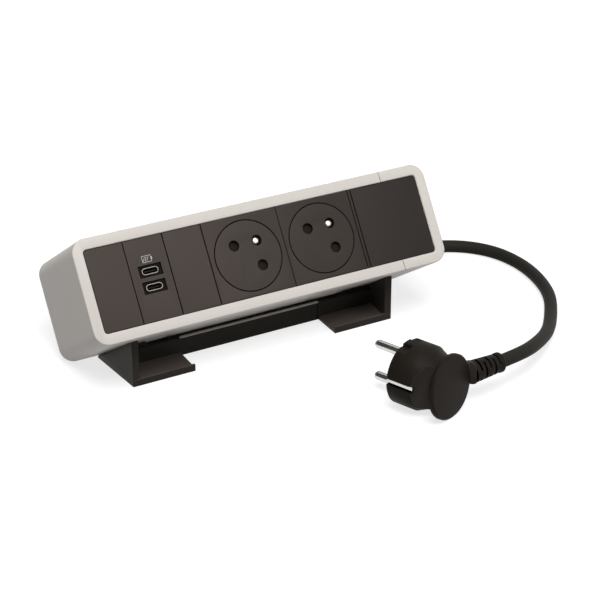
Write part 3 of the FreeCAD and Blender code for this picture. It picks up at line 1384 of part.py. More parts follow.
os.makedirs("parts", exist_ok=True)
for label, thing in PIECES.items():
    thing.Shape.exportStep(f"parts/{label}.step")
    around = thing.Shape.BoundBox
    ends = (around.XMin, around.XMax, around.YMin, around.YMax, around.ZMin, around.ZMax)
    print(
        label, len(thing.Shape.Solids), round(thing.Shape.Volume), [round(v, 1) for v in ends]
    )
print(len(PIECES), "pieces")
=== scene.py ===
import json
from math import cos, radians, sin

import bpy
from mathutils import Matrix, Vector

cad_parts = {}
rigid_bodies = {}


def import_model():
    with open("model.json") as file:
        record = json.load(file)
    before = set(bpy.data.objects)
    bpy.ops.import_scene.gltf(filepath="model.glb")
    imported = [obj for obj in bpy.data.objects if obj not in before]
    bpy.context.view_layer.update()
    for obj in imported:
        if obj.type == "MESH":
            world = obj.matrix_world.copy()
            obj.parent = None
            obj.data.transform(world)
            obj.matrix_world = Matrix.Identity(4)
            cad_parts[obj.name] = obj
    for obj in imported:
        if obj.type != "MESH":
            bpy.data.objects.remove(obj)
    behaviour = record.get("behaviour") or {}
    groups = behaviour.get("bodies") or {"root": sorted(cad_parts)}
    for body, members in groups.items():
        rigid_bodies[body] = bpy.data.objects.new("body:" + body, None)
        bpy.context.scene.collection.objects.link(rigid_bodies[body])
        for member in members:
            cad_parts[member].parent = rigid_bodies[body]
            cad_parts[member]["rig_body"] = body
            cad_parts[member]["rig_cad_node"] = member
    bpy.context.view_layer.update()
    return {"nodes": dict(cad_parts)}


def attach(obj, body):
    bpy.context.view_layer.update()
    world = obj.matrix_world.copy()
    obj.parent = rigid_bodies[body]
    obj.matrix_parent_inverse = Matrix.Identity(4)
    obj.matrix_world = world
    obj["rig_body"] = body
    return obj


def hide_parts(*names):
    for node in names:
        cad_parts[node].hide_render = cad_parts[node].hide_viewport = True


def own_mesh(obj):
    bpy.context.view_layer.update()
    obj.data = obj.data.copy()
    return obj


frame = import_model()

bl_info = {
    "name": "Desk power block",
    "version": (1, 0, 0),
    "blender": (4, 5, 0),
    "location": "View3D > Sidebar > Power block",
    "description": "Dresses the packed desk power block and sets up its studio",
    "category": "Object",
}

MM = 0.001

# The block's own frame, in millimetres: x along it, y up its front, z out of its front.
TILT = radians(34)
BLOCK_HEIGHT = 57
BLOCK_DEPTH = 65
REAR_EDGE_HEIGHT = 0.8
FOOTPRINT = BLOCK_HEIGHT * sin(TILT) + BLOCK_DEPTH * cos(TILT)
BLOCK_BASE = Vector((0, -FOOTPRINT / 2, REAR_EDGE_HEIGHT + BLOCK_DEPTH * sin(TILT)))
BLOCK_PLACE = Matrix.Translation(BLOCK_BASE * MM) @ Matrix.Rotation(radians(90) - TILT, 4, "X")

# The plug's own frame: y along its pins, x towards its cord, z up.
PLUG_PLACE = Matrix.Translation(Vector((49.5, -136.2, 17.8)) * MM) @ Matrix.Rotation(
    radians(23), 4, "Z"
)

# The cord outside the block, in millimetres on the desk.
CORD_RADIUS = 3.75
BOOT_END = (95, 42, -87)
LEAD_IN = [(95, 60.2, 18.3), (94.2, 69.2, 14.1), (92.4, 78.8, 11.8), (88.9, 88.2, 11.4)]
LEAD_OUT = [
    (72, 22.2, 3.75), (94.5, 26, 3.75), (117, 32.5, 3.75), (139, 34.5, 3.75),
    (159.5, 26.4, 3.75), (174, 10, 3.75), (179.3, -11.3, 3.75), (177.5, -33.5, 3.75),
    (170.3, -56, 3.75), (155.3, -77.2, 3.75), (139, -96.6, 7.5), (118.5, -113.2, 13.2),
    (102, -122.8, 16.9),
]
RELIEF_END = 39.5
RELIEF_TURN = radians(-18)
RELIEF_HEIGHT = 7.2

# Where the shell meets its right-hand end, and the small rounding of that joint.
SHELL_JOINT = 78.5
SHELL_JOINT_ROUNDING = 0.15

# How near an edge lies to the joint, to the plane of the front or to the rim's corner that
# it counts for, and how deep a face lies that is the floor of a hole.
JOINT_REACH = 0.3
FRONT_REACH = 0.02
RIM_REACH = 1.2
PLATE_REACH = 1.25
PIT_DEPTH = 0.6

# Small roundings of single pieces.
TIE_ROUNDING = 0.3
BOOT_ROUNDING = 0.3
SLEEVE_ROUNDING = 0.2
CLIP_ROUNDING = 0.15
LIP_ROUNDING = 0.4

# The end's rounded corner by the cord clamp's rest, and the room that is trimmed outside it.
REST_CORNER_PLACE = (98.5, 49, -56)
REST_CORNER_RADIUS = 8.01
REST_TRIM_PLACE = (105.5, 56, -56)
REST_TRIM_SIZE = (8, 8, 10)

# What closes the joint of the two plates at the right, in the block's own frame.
JOINT_FILLER_PLACE = (78.5, 28.5, -4.45)
JOINT_FILLER_SIZE = (0.3, 44.7, 8.1)

# Upper faces of the bracket below this height are the tops of its feet, which are painted lighter
# as painted light from above.
FOOT_TOP_HEIGHT = 6

# The thin raised lip along the top of the bracket's bar, light coloured as a painted highlight.
BAR_LIP_PLACE = (-2.1, -9.0, 10.9)
BAR_LIP_SIZE = (87, 1.6, 1.2)

# The dark joint on the bar's front, left of the right-hand niche.
BAR_JOINT_PLACE = (40.8, -9.78, 5.5)
BAR_JOINT_SIZE = (0.45, 0.06, 10.2)

# The finger hollow in the plug's side, in the plug's own frame.
HOLLOW_PLACE = (-18, 5, 0)
HOLLOW_REACH = (12.5, 9.3, 32)
HOLLOW_END = 4.95

# The round boss that carries the cord's sleeve: its radius, with room for the mesh's
# corners, and how far out it starts.
BOSS_RADIUS = 6.6
BOSS_START = 12

# The slots of the cord's sleeve on the plug: where they start and end along it, and the
# radius below which a face is inside a slot.
SLOTS_START = 18
SLOTS_END = 39
SLOT_DEPTH_RADIUS = 3.6

# The oval coil behind the block: two round ends joined by straight runs.
COIL_RIGHT = 50
COIL_LEFT = -44.5
COIL_Y = 65
COIL_INNER = 30
COIL_PITCH = 7.65
COIL_START = 60
COIL_DROP = 735
COIL_LANDED = 795
COIL_END = 1350
COIL_STEP = 15
RUN_POINTS = 5

# The printed charging symbol: a battery's outline with slanted bars, each stroke as its
# middle, width, height and turn in the block's own frame.
INK_LEVEL = -0.385
INK_HEIGHT = 0.05
SYMBOL_STROKES = (
    (-67.7, 41.0, 5.3, 0.27, 0), (-67.7, 37.6, 5.3, 0.27, 0), (-70.2, 39.3, 0.27, 3.6, 0),
    (-65.2, 39.3, 0.27, 3.6, 0), (-64.8, 39.3, 0.5, 1.4, 0),
    (-69.2, 39.3, 0.27, 2.7, -28), (-68.2, 39.3, 0.27, 2.7, -28), (-67.2, 39.3, 0.27, 2.7, -28),
)

# The camera, as the photograph's perspective gives it.
CAMERA_PLACE = (-0.392516, -0.786368, 0.479916)
CAMERA_TURN = (62.2801, 0.1627, -28.6051)
CAMERA_LENS = 105.963

# The studio: what the lamps look at, and each lamp's and the card's place and width.
LIGHT_TARGET = (0, 0, 0.03)
KEY_LIGHT = ((-0.35, -0.95, 1.9), 1.1)
TOP_LIGHT = ((0.1, 0.2, 2.0), 1.6)
FILL_LIGHT = ((1.2, -1.2, 0.9), 1.0)
BACK_CARD = ((-0.95, 0.5, 0.85), 2.3)

# The floor's paleness, and how its own glow rises from the object outwards.
FLOOR_PALE = {"To Min": 0.41, "To Max": 0.44}
FLOOR_GLOW = {"From Min": 0.4, "From Max": 1.8, "To Min": 0.74, "To Max": 1.0}

# How the front's colour is painted darker along the block, from left to right, as painted light
# falling off away from the left.
FACE_LIGHT_FALLOFF = {"From Min": -30 * MM, "From Max": 95 * MM, "To Min": 1.1, "To Max": 0.43}


def block_point(x, y, z):
    """A place of the block's own frame, in metres on the desk."""
    return BLOCK_PLACE @ (Vector((x, y, z)) * MM)


def plug_point(x, y, z):
    """A place of the plug's own frame, in metres on the desk."""
    return PLUG_PLACE @ (Vector((x, y, z)) * MM)


class BlockSizes(bpy.types.PropertyGroup):
    """Sizes of the finish that the solids leave plain."""

    shell_rounding: bpy.props.FloatProperty(
        name="Shell rounding", description="Radius on the edges of the light shell",
        default=0.6 * MM, unit="LENGTH", subtype="DISTANCE",
    )
    face_rounding: bpy.props.FloatProperty(
        name="Face rounding", description="Radius on the edges of the dark front plates",
        default=0.2 * MM, unit="LENGTH", subtype="DISTANCE",
    )
    bracket_rounding: bpy.props.FloatProperty(
        name="Bracket rounding", description="Radius on the edges of the wedge bracket",
        default=0.35 * MM, unit="LENGTH", subtype="DISTANCE",
    )
    plug_rounding: bpy.props.FloatProperty(
        name="Plug rounding", description="Radius on the edges of the plug",
        default=0.6 * MM, unit="LENGTH", subtype="DISTANCE",
    )
    cord_diameter: bpy.props.FloatProperty(
        name="Cord diameter", description="Outside diameter of the cord",
        default=2 * CORD_RADIUS * MM, unit="LENGTH", subtype="DISTANCE",
    )
    cord_length: bpy.props.FloatProperty(
        name="Cord length", description="Length of the cord between its two sleeves",
        default=1.94, unit="LENGTH", subtype="DISTANCE",
    )


class BlockColours(bpy.types.PropertyGroup):
    """Colours of the block's plastics and metals."""

    shell: bpy.props.FloatVectorProperty(
        name="Shell", description="Light warm grey of the shell", default=(0.625, 0.585, 0.543),
        subtype="COLOR", min=0, max=1,
    )
    face: bpy.props.FloatVectorProperty(
        name="Front plates", description="Dark brown grey of the front",
        default=(0.055, 0.0445, 0.0385), subtype="COLOR", min=0, max=1,
    )
    bracket: bpy.props.FloatVectorProperty(
        name="Bracket", description="Near black of the wedge bracket",
        default=(0.034, 0.0297, 0.0255), subtype="COLOR", min=0, max=1,
    )
    plug: bpy.props.FloatVectorProperty(
        name="Plug", description="Near black of the plug and its sleeves",
        default=(0.0148, 0.0115, 0.009), subtype="COLOR", min=0, max=1,
    )
    cord: bpy.props.FloatVectorProperty(
        name="Cord", description="Near black of the cord's rubber",
        default=(0.0235, 0.0212, 0.0172), subtype="COLOR", min=0, max=1,
    )
    nickel: bpy.props.FloatVectorProperty(
        name="Nickel", description="Bright nickel of pins, clips, springs and screws",
        default=(0.62, 0.61, 0.59), subtype="COLOR", min=0, max=1,
    )
    symbol: bpy.props.FloatVectorProperty(
        name="Symbol", description="Ink of the symbol over the charger's ports",
        default=(0.50, 0.49, 0.47), subtype="COLOR", min=0, max=1,
    )


class StudioSettings(bpy.types.PropertyGroup):
    """Light and floor of the studio."""

    floor_width: bpy.props.FloatProperty(
        name="Floor width", description="Width of the pale floor", default=9.0,
        unit="LENGTH", subtype="DISTANCE",
    )
    key_power: bpy.props.FloatProperty(
        name="Key light", description="Power of the large light at the front left",
        default=40.0, unit="POWER", min=0,
    )
    top_power: bpy.props.FloatProperty(
        name="Top light", description="Power of the light overhead", default=5.0,
        unit="POWER", min=0,
    )
    fill_power: bpy.props.FloatProperty(
        name="Fill light", description="Power of the light at the front right", default=7.6,
        unit="POWER", min=0,
    )
    surround: bpy.props.FloatProperty(
        name="Surround", description="Brightness of the light from all round", default=0.02,
        min=0, max=1,
    )


def rest():
    """Leaves edit mode with nothing selected."""
    if bpy.context.object and bpy.context.object.mode != "OBJECT":
        bpy.ops.object.mode_set(mode="OBJECT")
    bpy.ops.object.select_all(action="DESELECT")


def take(piece):
    """Makes one piece the only one selected."""
    rest()
    piece.select_set(True)
    bpy.context.view_layer.objects.active = piece


def copy_of(node, name):
    """A free copy of a solid, with its loose triangles joined into clean faces."""
    take(frame["nodes"][node])
    bpy.ops.object.duplicate()
    piece = bpy.context.object
    bpy.ops.object.parent_clear(type="CLEAR_KEEP_TRANSFORM")
    piece.name = name
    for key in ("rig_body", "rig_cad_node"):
        del piece[key]
    bpy.ops.mesh.customdata_custom_splitnormals_clear()
    bpy.ops.object.mode_set(mode="EDIT")
    bpy.ops.mesh.select_all(action="SELECT")
    bpy.ops.mesh.remove_doubles(threshold=1e-6)
    bpy.ops.mesh.dissolve_limited(angle_limit=radians(1))
    bpy.ops.object.mode_set(mode="OBJECT")
    return piece


def round_edges(piece, radius, wanted=None, sharpness=30, segments=3, second=False):
    """Rounds the sharp edges of a piece, or those of them that a test picks by place.

    With second, the rounded strips take the piece's second material.
    """
    take(piece)
    bpy.ops.object.mode_set(mode="EDIT")
    bpy.ops.mesh.select_mode(type="EDGE")
    bpy.ops.mesh.select_all(action="DESELECT")
    bpy.ops.mesh.edges_select_sharp(sharpness=radians(sharpness))
    if wanted:
        bpy.ops.object.mode_set(mode="OBJECT")
        places = piece.data.vertices
        picked = [
            edge.index for edge in piece.data.edges
            if edge.select and wanted(*(places[i].co for i in edge.vertices))
        ]
        for kind in (piece.data.vertices, piece.data.edges, piece.data.polygons):
            kind.foreach_set("select", [False] * len(kind))
        for index in picked:
            piece.data.edges[index].select = True
        bpy.ops.object.mode_set(mode="EDIT")
    bpy.ops.mesh.bevel(
        offset=radius, offset_type="OFFSET", segments=segments, profile=0.5,
        affect="EDGES", clamp_overlap=True, material=1 if second else -1,
    )
    bpy.ops.object.mode_set(mode="OBJECT")
    return piece


def near_front(start, end):
    """True for an edge close to the plane of the front."""
    back = BLOCK_PLACE.inverted()
    return all(abs((back @ place).z) < PLATE_REACH * MM for place in (start, end))


def slab(place, size, frame_place, turn=0.0):
    """A thin block at a place of a leaning frame, in millimetres, turned about its own z."""
    rest()
    bpy.ops.mesh.primitive_cube_add(size=1)
    piece = bpy.context.object
    piece.matrix_world = (
        frame_place @ Matrix.Translation(Vector(place) * MM) @ Matrix.Rotation(turn, 4, "Z")
        @ Matrix.Diagonal((*(length * MM for length in size), 1))
    )
    bpy.ops.object.transform_apply(location=True, rotation=True, scale=True)
    return piece


def subtract(piece, cutter):
    """Cuts one piece by another, which is then gone."""
    take(piece)
    cut = piece.modifiers.new("cut", "BOOLEAN")
    cut.operation = "DIFFERENCE"
    cut.solver = "EXACT"
    cut.object = cutter
    cut.material_mode = "TRANSFER"
    bpy.ops.object.modifier_apply(modifier=cut.name)
    take(cutter)
    bpy.ops.object.delete()
    return piece


def soften(piece, angle=32):
    """Shades a piece smooth except across its corners."""
    take(piece)
    bpy.ops.object.shade_smooth_by_angle(angle=radians(angle))
    return piece


def paint(piece, *materials):
    """Gives a piece its materials, the first of them on all faces."""
    piece.data.materials.clear()
    for material in materials:
        piece.data.materials.append(material)
    return piece


def dress(piece, material, body="base", nodes=()):
    """Gives a finished piece its material and its body, and hides the nodes that it stands for.

    A piece that was painted beforehand comes with no material here.
    """
    if material:
        paint(piece, material)
    if nodes:
        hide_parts(*nodes)
    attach(piece, body)
    return piece


def paint_shade_in_depths(piece, index):
    """Gives the faces of holes and windows, behind a piece's front, a darker material as painted
    shade.
    """
    front = BLOCK_PLACE.to_3x3() @ Vector((0, 0, 1))
    back = BLOCK_PLACE.inverted()
    for face in piece.data.polygons:
        if face.normal.dot(front) < 0.5 or (back @ face.center).z < -PIT_DEPTH * MM:
            face.material_index = index
    return piece


def finish_nodes(material, *nodes):
    """Gives solids that stay as they are their material."""
    for node in nodes:
        solid = frame["nodes"][node]
        solid.data.materials.clear()
        solid.data.materials.append(material)


def new_group(name, inputs, outputs):
    """An empty shader node group with the given sockets, and its two end nodes."""
    group = bpy.data.node_groups.new(name, "ShaderNodeTree")
    for label, kind, value in inputs:
        socket = group.interface.new_socket(name=label, in_out="INPUT", socket_type=kind)
        socket.default_value = value
    for label, kind in outputs:
        group.interface.new_socket(name=label, in_out="OUTPUT", socket_type=kind)
    start = group.nodes.new("NodeGroupInput")
    end = group.nodes.new("NodeGroupOutput")
    return group, start, end


def map_range(nodes, limits):
    """A node that carries one range of values over to another."""
    node = nodes.new("ShaderNodeMapRange")
    for label, value in limits.items():
        node.inputs[label].default_value = value
    return node


def moulded_grain():
    """Fine grain of moulded plastic: drifting colour, drifting roughness and small bumps."""
    if "moulded_grain" in bpy.data.node_groups:
        return bpy.data.node_groups["moulded_grain"]
    group, start, end = new_group(
        "moulded_grain",
        [
            ("Colour", "NodeSocketColor", (0.5, 0.5, 0.5, 1)),
            ("Roughness", "NodeSocketFloat", 0.5),
            ("Grain", "NodeSocketFloat", 2500),
            ("Depth", "NodeSocketFloat", 0.15),
            ("Drift", "NodeSocketFloat", 0.06),
        ],
        [("Colour", "NodeSocketColor"), ("Roughness", "NodeSocketFloat"),
         ("Normal", "NodeSocketVector")],
    )
    nodes, links = group.nodes, group.links
    place = nodes.new("ShaderNodeTexCoord")
    fine = nodes.new("ShaderNodeTexNoise")
    fine.inputs["Detail"].default_value = 3
    links.new(place.outputs["Object"], fine.inputs["Vector"])
    links.new(start.outputs["Grain"], fine.inputs["Scale"])
    bump = nodes.new("ShaderNodeBump")
    bump.inputs["Distance"].default_value = 0.05 * MM
    links.new(fine.outputs["Fac"], bump.inputs["Height"])
    links.new(start.outputs["Depth"], bump.inputs["Strength"])
    links.new(bump.outputs["Normal"], end.inputs["Normal"])

    broad = nodes.new("ShaderNodeTexNoise")
    broad.inputs["Scale"].default_value = 22
    broad.inputs["Detail"].default_value = 5
    links.new(place.outputs["Object"], broad.inputs["Vector"])
    centred = nodes.new("ShaderNodeMath")
    centred.operation = "SUBTRACT"
    centred.inputs[1].default_value = 0.5
    links.new(broad.outputs["Fac"], centred.inputs[0])
    drift = nodes.new("ShaderNodeMath")
    drift.operation = "MULTIPLY"
    links.new(centred.outputs[0], drift.inputs[0])
    links.new(start.outputs["Drift"], drift.inputs[1])
    brightness = nodes.new("ShaderNodeMath")
    brightness.operation = "ADD"
    brightness.inputs[1].default_value = 1
    links.new(drift.outputs[0], brightness.inputs[0])
    tint = nodes.new("ShaderNodeVectorMath")
    tint.operation = "SCALE"
    links.new(start.outputs["Colour"], tint.inputs[0])
    links.new(brightness.outputs[0], tint.inputs["Scale"])
    links.new(tint.outputs[0], end.inputs["Colour"])
    rough = nodes.new("ShaderNodeMath")
    rough.operation = "ADD"
    links.new(start.outputs["Roughness"], rough.inputs[0])
    links.new(drift.outputs[0], rough.inputs[1])
    links.new(rough.outputs[0], end.inputs["Roughness"])
    return group


def brushed_metal():
    """Fine drawing lines of a metal: a roughness that varies across them and small bumps."""
    if "brushed_metal" in bpy.data.node_groups:
        return bpy.data.node_groups["brushed_metal"]
    group, start, end = new_group(
        "brushed_metal",
        [
            ("Roughness", "NodeSocketFloat", 0.2),
            ("Stretch", "NodeSocketVector", (1, 1, 1)),
            ("Depth", "NodeSocketFloat", 0.1),
        ],
        [("Roughness", "NodeSocketFloat"), ("Normal", "NodeSocketVector")],
    )
    nodes, links = group.nodes, group.links
    place = nodes.new("ShaderNodeTexCoord")
    stretch = nodes.new("ShaderNodeVectorMath")
    stretch.operation = "MULTIPLY"
    links.new(place.outputs["Object"], stretch.inputs[0])
    links.new(start.outputs["Stretch"], stretch.inputs[1])
    lines = nodes.new("ShaderNodeTexNoise")
    lines.inputs["Scale"].default_value = 900
    lines.inputs["Detail"].default_value = 4
    links.new(stretch.outputs[0], lines.inputs["Vector"])
    bump = nodes.new("ShaderNodeBump")
    bump.inputs["Distance"].default_value = 0.03 * MM
    links.new(lines.outputs["Fac"], bump.inputs["Height"])
    links.new(start.outputs["Depth"], bump.inputs["Strength"])
    links.new(bump.outputs["Normal"], end.inputs["Normal"])
    spread = nodes.new("ShaderNodeMath")
    spread.operation = "MULTIPLY_ADD"
    spread.inputs[1].default_value = 0.2
    links.new(lines.outputs["Fac"], spread.inputs[0])
    links.new(start.outputs["Roughness"], spread.inputs[2])
    links.new(spread.outputs[0], end.inputs["Roughness"])
    return group


def plastic(name, colour, roughness, specular=0.5, grain=2500, depth=0.15, drift=0.08):
    """A moulded plastic or rubber of one colour with its own grain."""
    if name in bpy.data.materials:
        return bpy.data.materials[name]
    material = bpy.data.materials.new(name)
    material.use_nodes = True
    nodes, links = material.node_tree.nodes, material.node_tree.links
    shader = nodes["Principled BSDF"]
    shader.inputs["Specular IOR Level"].default_value = specular
    skin = nodes.new("ShaderNodeGroup")
    skin.node_tree = moulded_grain()
    skin.inputs["Colour"].default_value = (*colour, 1)
    skin.inputs["Roughness"].default_value = roughness
    skin.inputs["Grain"].default_value = grain
    skin.inputs["Depth"].default_value = depth
    skin.inputs["Drift"].default_value = drift
    links.new(skin.outputs["Colour"], shader.inputs["Base Color"])
    links.new(skin.outputs["Roughness"], shader.inputs["Roughness"])
    links.new(skin.outputs["Normal"], shader.inputs["Normal"])
    return material


def metal(name, colour, roughness, stretch=(1, 1, 1), depth=0.1):
    """A bare or plated metal with fine drawing lines."""
    if name in bpy.data.materials:
        return bpy.data.materials[name]
    material = bpy.data.materials.new(name)
    material.use_nodes = True
    nodes, links = material.node_tree.nodes, material.node_tree.links
    shader = nodes["Principled BSDF"]
    shader.inputs["Metallic"].default_value = 1
    shader.inputs["Base Color"].default_value = (*colour, 1)
    skin = nodes.new("ShaderNodeGroup")
    skin.node_tree = brushed_metal()
    skin.inputs["Roughness"].default_value = roughness
    skin.inputs["Stretch"].default_value = stretch
    skin.inputs["Depth"].default_value = depth
    links.new(skin.outputs["Roughness"], shader.inputs["Roughness"])
    links.new(skin.outputs["Normal"], shader.inputs["Normal"])
    return material


def shell_plastic():
    """The light shell, with a fine even grain."""
    return plastic("shell_finish", bpy.context.scene.block_colours.shell, roughness=0.42,
                   specular=0.4, grain=3200, depth=0.22, drift=0.04)


def painted_light_falloff():
    """A colour that is a little lighter at the left end of the block than at the right, as painted
    light falling off towards the right.
    """
    if "painted_light_falloff" in bpy.data.node_groups:
        return bpy.data.node_groups["painted_light_falloff"]
    group, start, end = new_group(
        "painted_light_falloff", [("Colour", "NodeSocketColor", (0.5, 0.5, 0.5, 1))],
        [("Colour", "NodeSocketColor")],
    )
    nodes, links = group.nodes, group.links
    place = nodes.new("ShaderNodeTexCoord")
    apart = nodes.new("ShaderNodeSeparateXYZ")
    links.new(place.outputs["Object"], apart.inputs[0])
    light_falloff = map_range(nodes, FACE_LIGHT_FALLOFF)
    links.new(apart.outputs["X"], light_falloff.inputs["Value"])
    tint = nodes.new("ShaderNodeVectorMath")
    tint.operation = "SCALE"
    links.new(start.outputs["Colour"], tint.inputs[0])
    links.new(light_falloff.outputs["Result"], tint.inputs["Scale"])
    links.new(tint.outputs[0], end.inputs["Colour"])
    return group


def face_plastic():
    """The dark front, painted a little darker towards the right as a painted light falloff."""
    if "face_finish" in bpy.data.materials:
        return bpy.data.materials["face_finish"]
    material = plastic("face_finish", bpy.context.scene.block_colours.face, roughness=0.5,
                       specular=0.1, grain=2600, depth=0.12, drift=0.05)
    nodes, links = material.node_tree.nodes, material.node_tree.links
    base = nodes["Principled BSDF"].inputs["Base Color"]
    # the front's colour is scaled along the block: a painted light falloff
    light_falloff = nodes.new("ShaderNodeGroup")
    light_falloff.node_tree = painted_light_falloff()
    links.new(base.links[0].from_socket, light_falloff.inputs["Colour"])
    links.new(light_falloff.outputs["Colour"], base)
    return material


def bracket_plastic():
    """The near black bracket."""
    return plastic("bracket_finish", bpy.context.scene.block_colours.bracket, roughness=0.5,
                   specular=0.05, grain=1800, depth=0.2, drift=0.2)


def bracket_top_painted_light_plastic():
    """The upper faces of the bracket's feet, painted lighter as painted light from above."""
    return plastic("bracket_top_painted_light_finish", (0.10, 0.083, 0.076), roughness=0.5, specular=0.05,
                   grain=1800, depth=0.2, drift=0.2)


def bracket_side_plastic():
    """The bracket's outer sides, smoother than the rest."""
    return plastic("bracket_side_finish", bpy.context.scene.block_colours.bracket,
                   roughness=0.45, specular=0.17, grain=1800, depth=0.2, drift=0.2)


def plug_rubber():
    """The plug and the cord's sleeves."""
    return plastic("plug_finish", bpy.context.scene.block_colours.plug, roughness=0.45,
                   specular=0.05, grain=1600, depth=0.2, drift=0.15)


def boss_painted_light_rubber():
    """The plug's boss and finger hollow, softer than its body and painted lighter as painted light
    on their shaded faces.
    """
    return plastic("boss_painted_light_finish", (0.046, 0.041, 0.036), roughness=0.5, specular=0.06,
                   grain=1600, depth=0.2, drift=0.15)


def cord_rubber():
    """The cord's own rubber."""
    return plastic("cord_finish", bpy.context.scene.block_colours.cord, roughness=0.52,
                   specular=0.04, grain=1400, depth=0.25, drift=0.15)


def inner_and_shade_plastic():
    """The dull dark plastic inside the block and in its holes, also laid on the walls of the
    sockets' holes as painted shade.
    """
    return plastic("inner_and_painted_shade_finish", (0.022, 0.017, 0.0142), roughness=0.7, specular=0.02,
                   grain=1800, depth=0.15, drift=0.1)


def recess_shade_plastic():
    """The floor of the windows round the charger's ports, with the walls of holes in the plates,
    painted near black as painted shade.
    """
    return plastic("recess_painted_shade_finish", (0.009, 0.0074, 0.006), roughness=0.6, specular=0.03,
                   grain=1800, depth=0.15, drift=0.1)


def joint_and_shade_plastic():
    """The dark of the narrow joints between the plates, and the painted shade in the slots of the
    plug's sleeve.
    """
    return plastic("joint_and_painted_shade_finish", (0.0025, 0.002, 0.0018), roughness=0.9, specular=0.0,
                   grain=1800, depth=0.1, drift=0.1)


def bar_highlight_plastic():
    """The lighter edge along the bracket's bar, a little smoother, with its light colour a painted
    highlight.
    """
    return plastic("bar_painted_highlight_finish", (0.42, 0.40, 0.365), roughness=0.4, specular=0.4,
                   grain=1800, depth=0.1, drift=0.1)


def printed_ink():
    """The printed symbol's ink."""
    return plastic("ink_finish", bpy.context.scene.block_colours.symbol, roughness=0.6,
                   specular=0.2, grain=1800, depth=0.1, drift=0.1)


def pin_tip_metal():
    """The bright earth pins of the sockets."""
    return metal("pin_tip_finish", (0.9, 0.89, 0.87), roughness=0.3, depth=0.05)


def port_metal():
    """The drawn shells of the charger's ports."""
    return metal("port_finish", (0.25, 0.24, 0.22), roughness=0.3, stretch=(1, 1, 0.2),
                 depth=0.05)


def nickel():
    """The polished nickel of pins, clips, springs and screws."""
    return metal("nickel_finish", bpy.context.scene.block_colours.nickel, roughness=0.12,
                 stretch=(1, 0.1, 1), depth=0.08)


def aim(thing, place, target):
    """Sets a lamp or a card at a place, looking at a target."""
    thing.location = place
    thing.rotation_euler = (Vector(target) - Vector(place)).to_track_quat("-Z", "Y").to_euler()


def softbox(name, spot, power):
    """A square area light at a place, of a width, that looks at the object."""
    place, width = spot
    rest()
    bpy.ops.object.light_add(type="AREA", location=place)
    lamp = bpy.context.object
    lamp.name = name
    lamp.data.shape = "SQUARE"
    lamp.data.size = width
    lamp.data.energy = power
    aim(lamp, place, LIGHT_TARGET)
    return lamp


def dark_card(name, spot):
    """A dark card that only mirrors see, which gives bright metal its dark bands."""
    place, width = spot
    rest()
    bpy.ops.mesh.primitive_plane_add(size=width)
    card = bpy.context.object
    card.name = name
    aim(card, place, LIGHT_TARGET)
    for kind in ("camera", "diffuse", "transmission", "volume_scatter", "shadow"):
        setattr(card, f"visible_{kind}", False)
    material = bpy.data.materials.new(name)
    material.use_nodes = True
    nodes, links = material.node_tree.nodes, material.node_tree.links
    nodes.remove(nodes["Principled BSDF"])
    glow = nodes.new("ShaderNodeEmission")
    glow.inputs["Color"].default_value = (0.05, 0.05, 0.055, 1)
    links.new(glow.outputs[0], nodes["Material Output"].inputs["Surface"])
    card.data.materials.append(material)
    return card


def seen_directly(nodes, links):
    """A mask that is 1 for rays from the camera, a mirror or glass."""
    path = nodes.new("ShaderNodeLightPath")
    total = path.outputs["Is Camera Ray"]
    for other in ("Is Glossy Ray", "Is Transmission Ray"):
        add = nodes.new("ShaderNodeMath")
        add.operation = "ADD"
        add.use_clamp = True
        links.new(total, add.inputs[0])
        links.new(path.outputs[other], add.inputs[1])
        total = add.outputs[0]
    return total


def floor_material():
    """A pale floor that looks white where no shadow falls."""
    material = bpy.data.materials.new("pale_floor")
    material.use_nodes = True
    nodes, links = material.node_tree.nodes, material.node_tree.links
    nodes.remove(nodes["Principled BSDF"])
    out = nodes["Material Output"]
    matte = nodes.new("ShaderNodeBsdfDiffuse")
    place = nodes.new("ShaderNodeTexCoord")
    mottle = nodes.new("ShaderNodeTexNoise")
    mottle.inputs["Scale"].default_value = 3
    links.new(place.outputs["Object"], mottle.inputs["Vector"])
    pale = map_range(nodes, FLOOR_PALE)
    links.new(mottle.outputs["Fac"], pale.inputs["Value"])
    links.new(pale.outputs["Result"], matte.inputs["Color"])
    glow = nodes.new("ShaderNodeEmission")
    away = nodes.new("ShaderNodeVectorMath")
    away.operation = "LENGTH"
    links.new(place.outputs["Object"], away.inputs[0])
    strength = map_range(nodes, FLOOR_GLOW)
    links.new(away.outputs["Value"], strength.inputs["Value"])
    lift = nodes.new("ShaderNodeMath")
    lift.operation = "MULTIPLY"
    links.new(strength.outputs["Result"], lift.inputs[1])
    links.new(seen_directly(nodes, links), lift.inputs[0])
    links.new(lift.outputs[0], glow.inputs["Strength"])
    both = nodes.new("ShaderNodeAddShader")
    links.new(matte.outputs[0], both.inputs[0])
    links.new(glow.outputs[0], both.inputs[1])
    links.new(both.outputs[0], out.inputs["Surface"])
    return material


def white_world(strength):
    """A world that lights softly and is white where it is seen."""
    world = bpy.context.scene.world or bpy.data.worlds.new("studio")
    bpy.context.scene.world = world
    world.use_nodes = True
    nodes, links = world.node_tree.nodes, world.node_tree.links
    nodes.clear()
    out = nodes.new("ShaderNodeOutputWorld")
    light = nodes.new("ShaderNodeBackground")
    light.inputs["Color"].default_value = (1, 1, 1, 1)
    light.inputs["Strength"].default_value = strength
    white = nodes.new("ShaderNodeBackground")
    white.inputs["Color"].default_value = (1, 1, 1, 1)
    mix = nodes.new("ShaderNodeMixShader")
    links.new(seen_directly(nodes, links), mix.inputs[0])
    links.new(light.outputs[0], mix.inputs[1])
    links.new(white.outputs[0], mix.inputs[2])
    links.new(mix.outputs[0], out.inputs["Surface"])


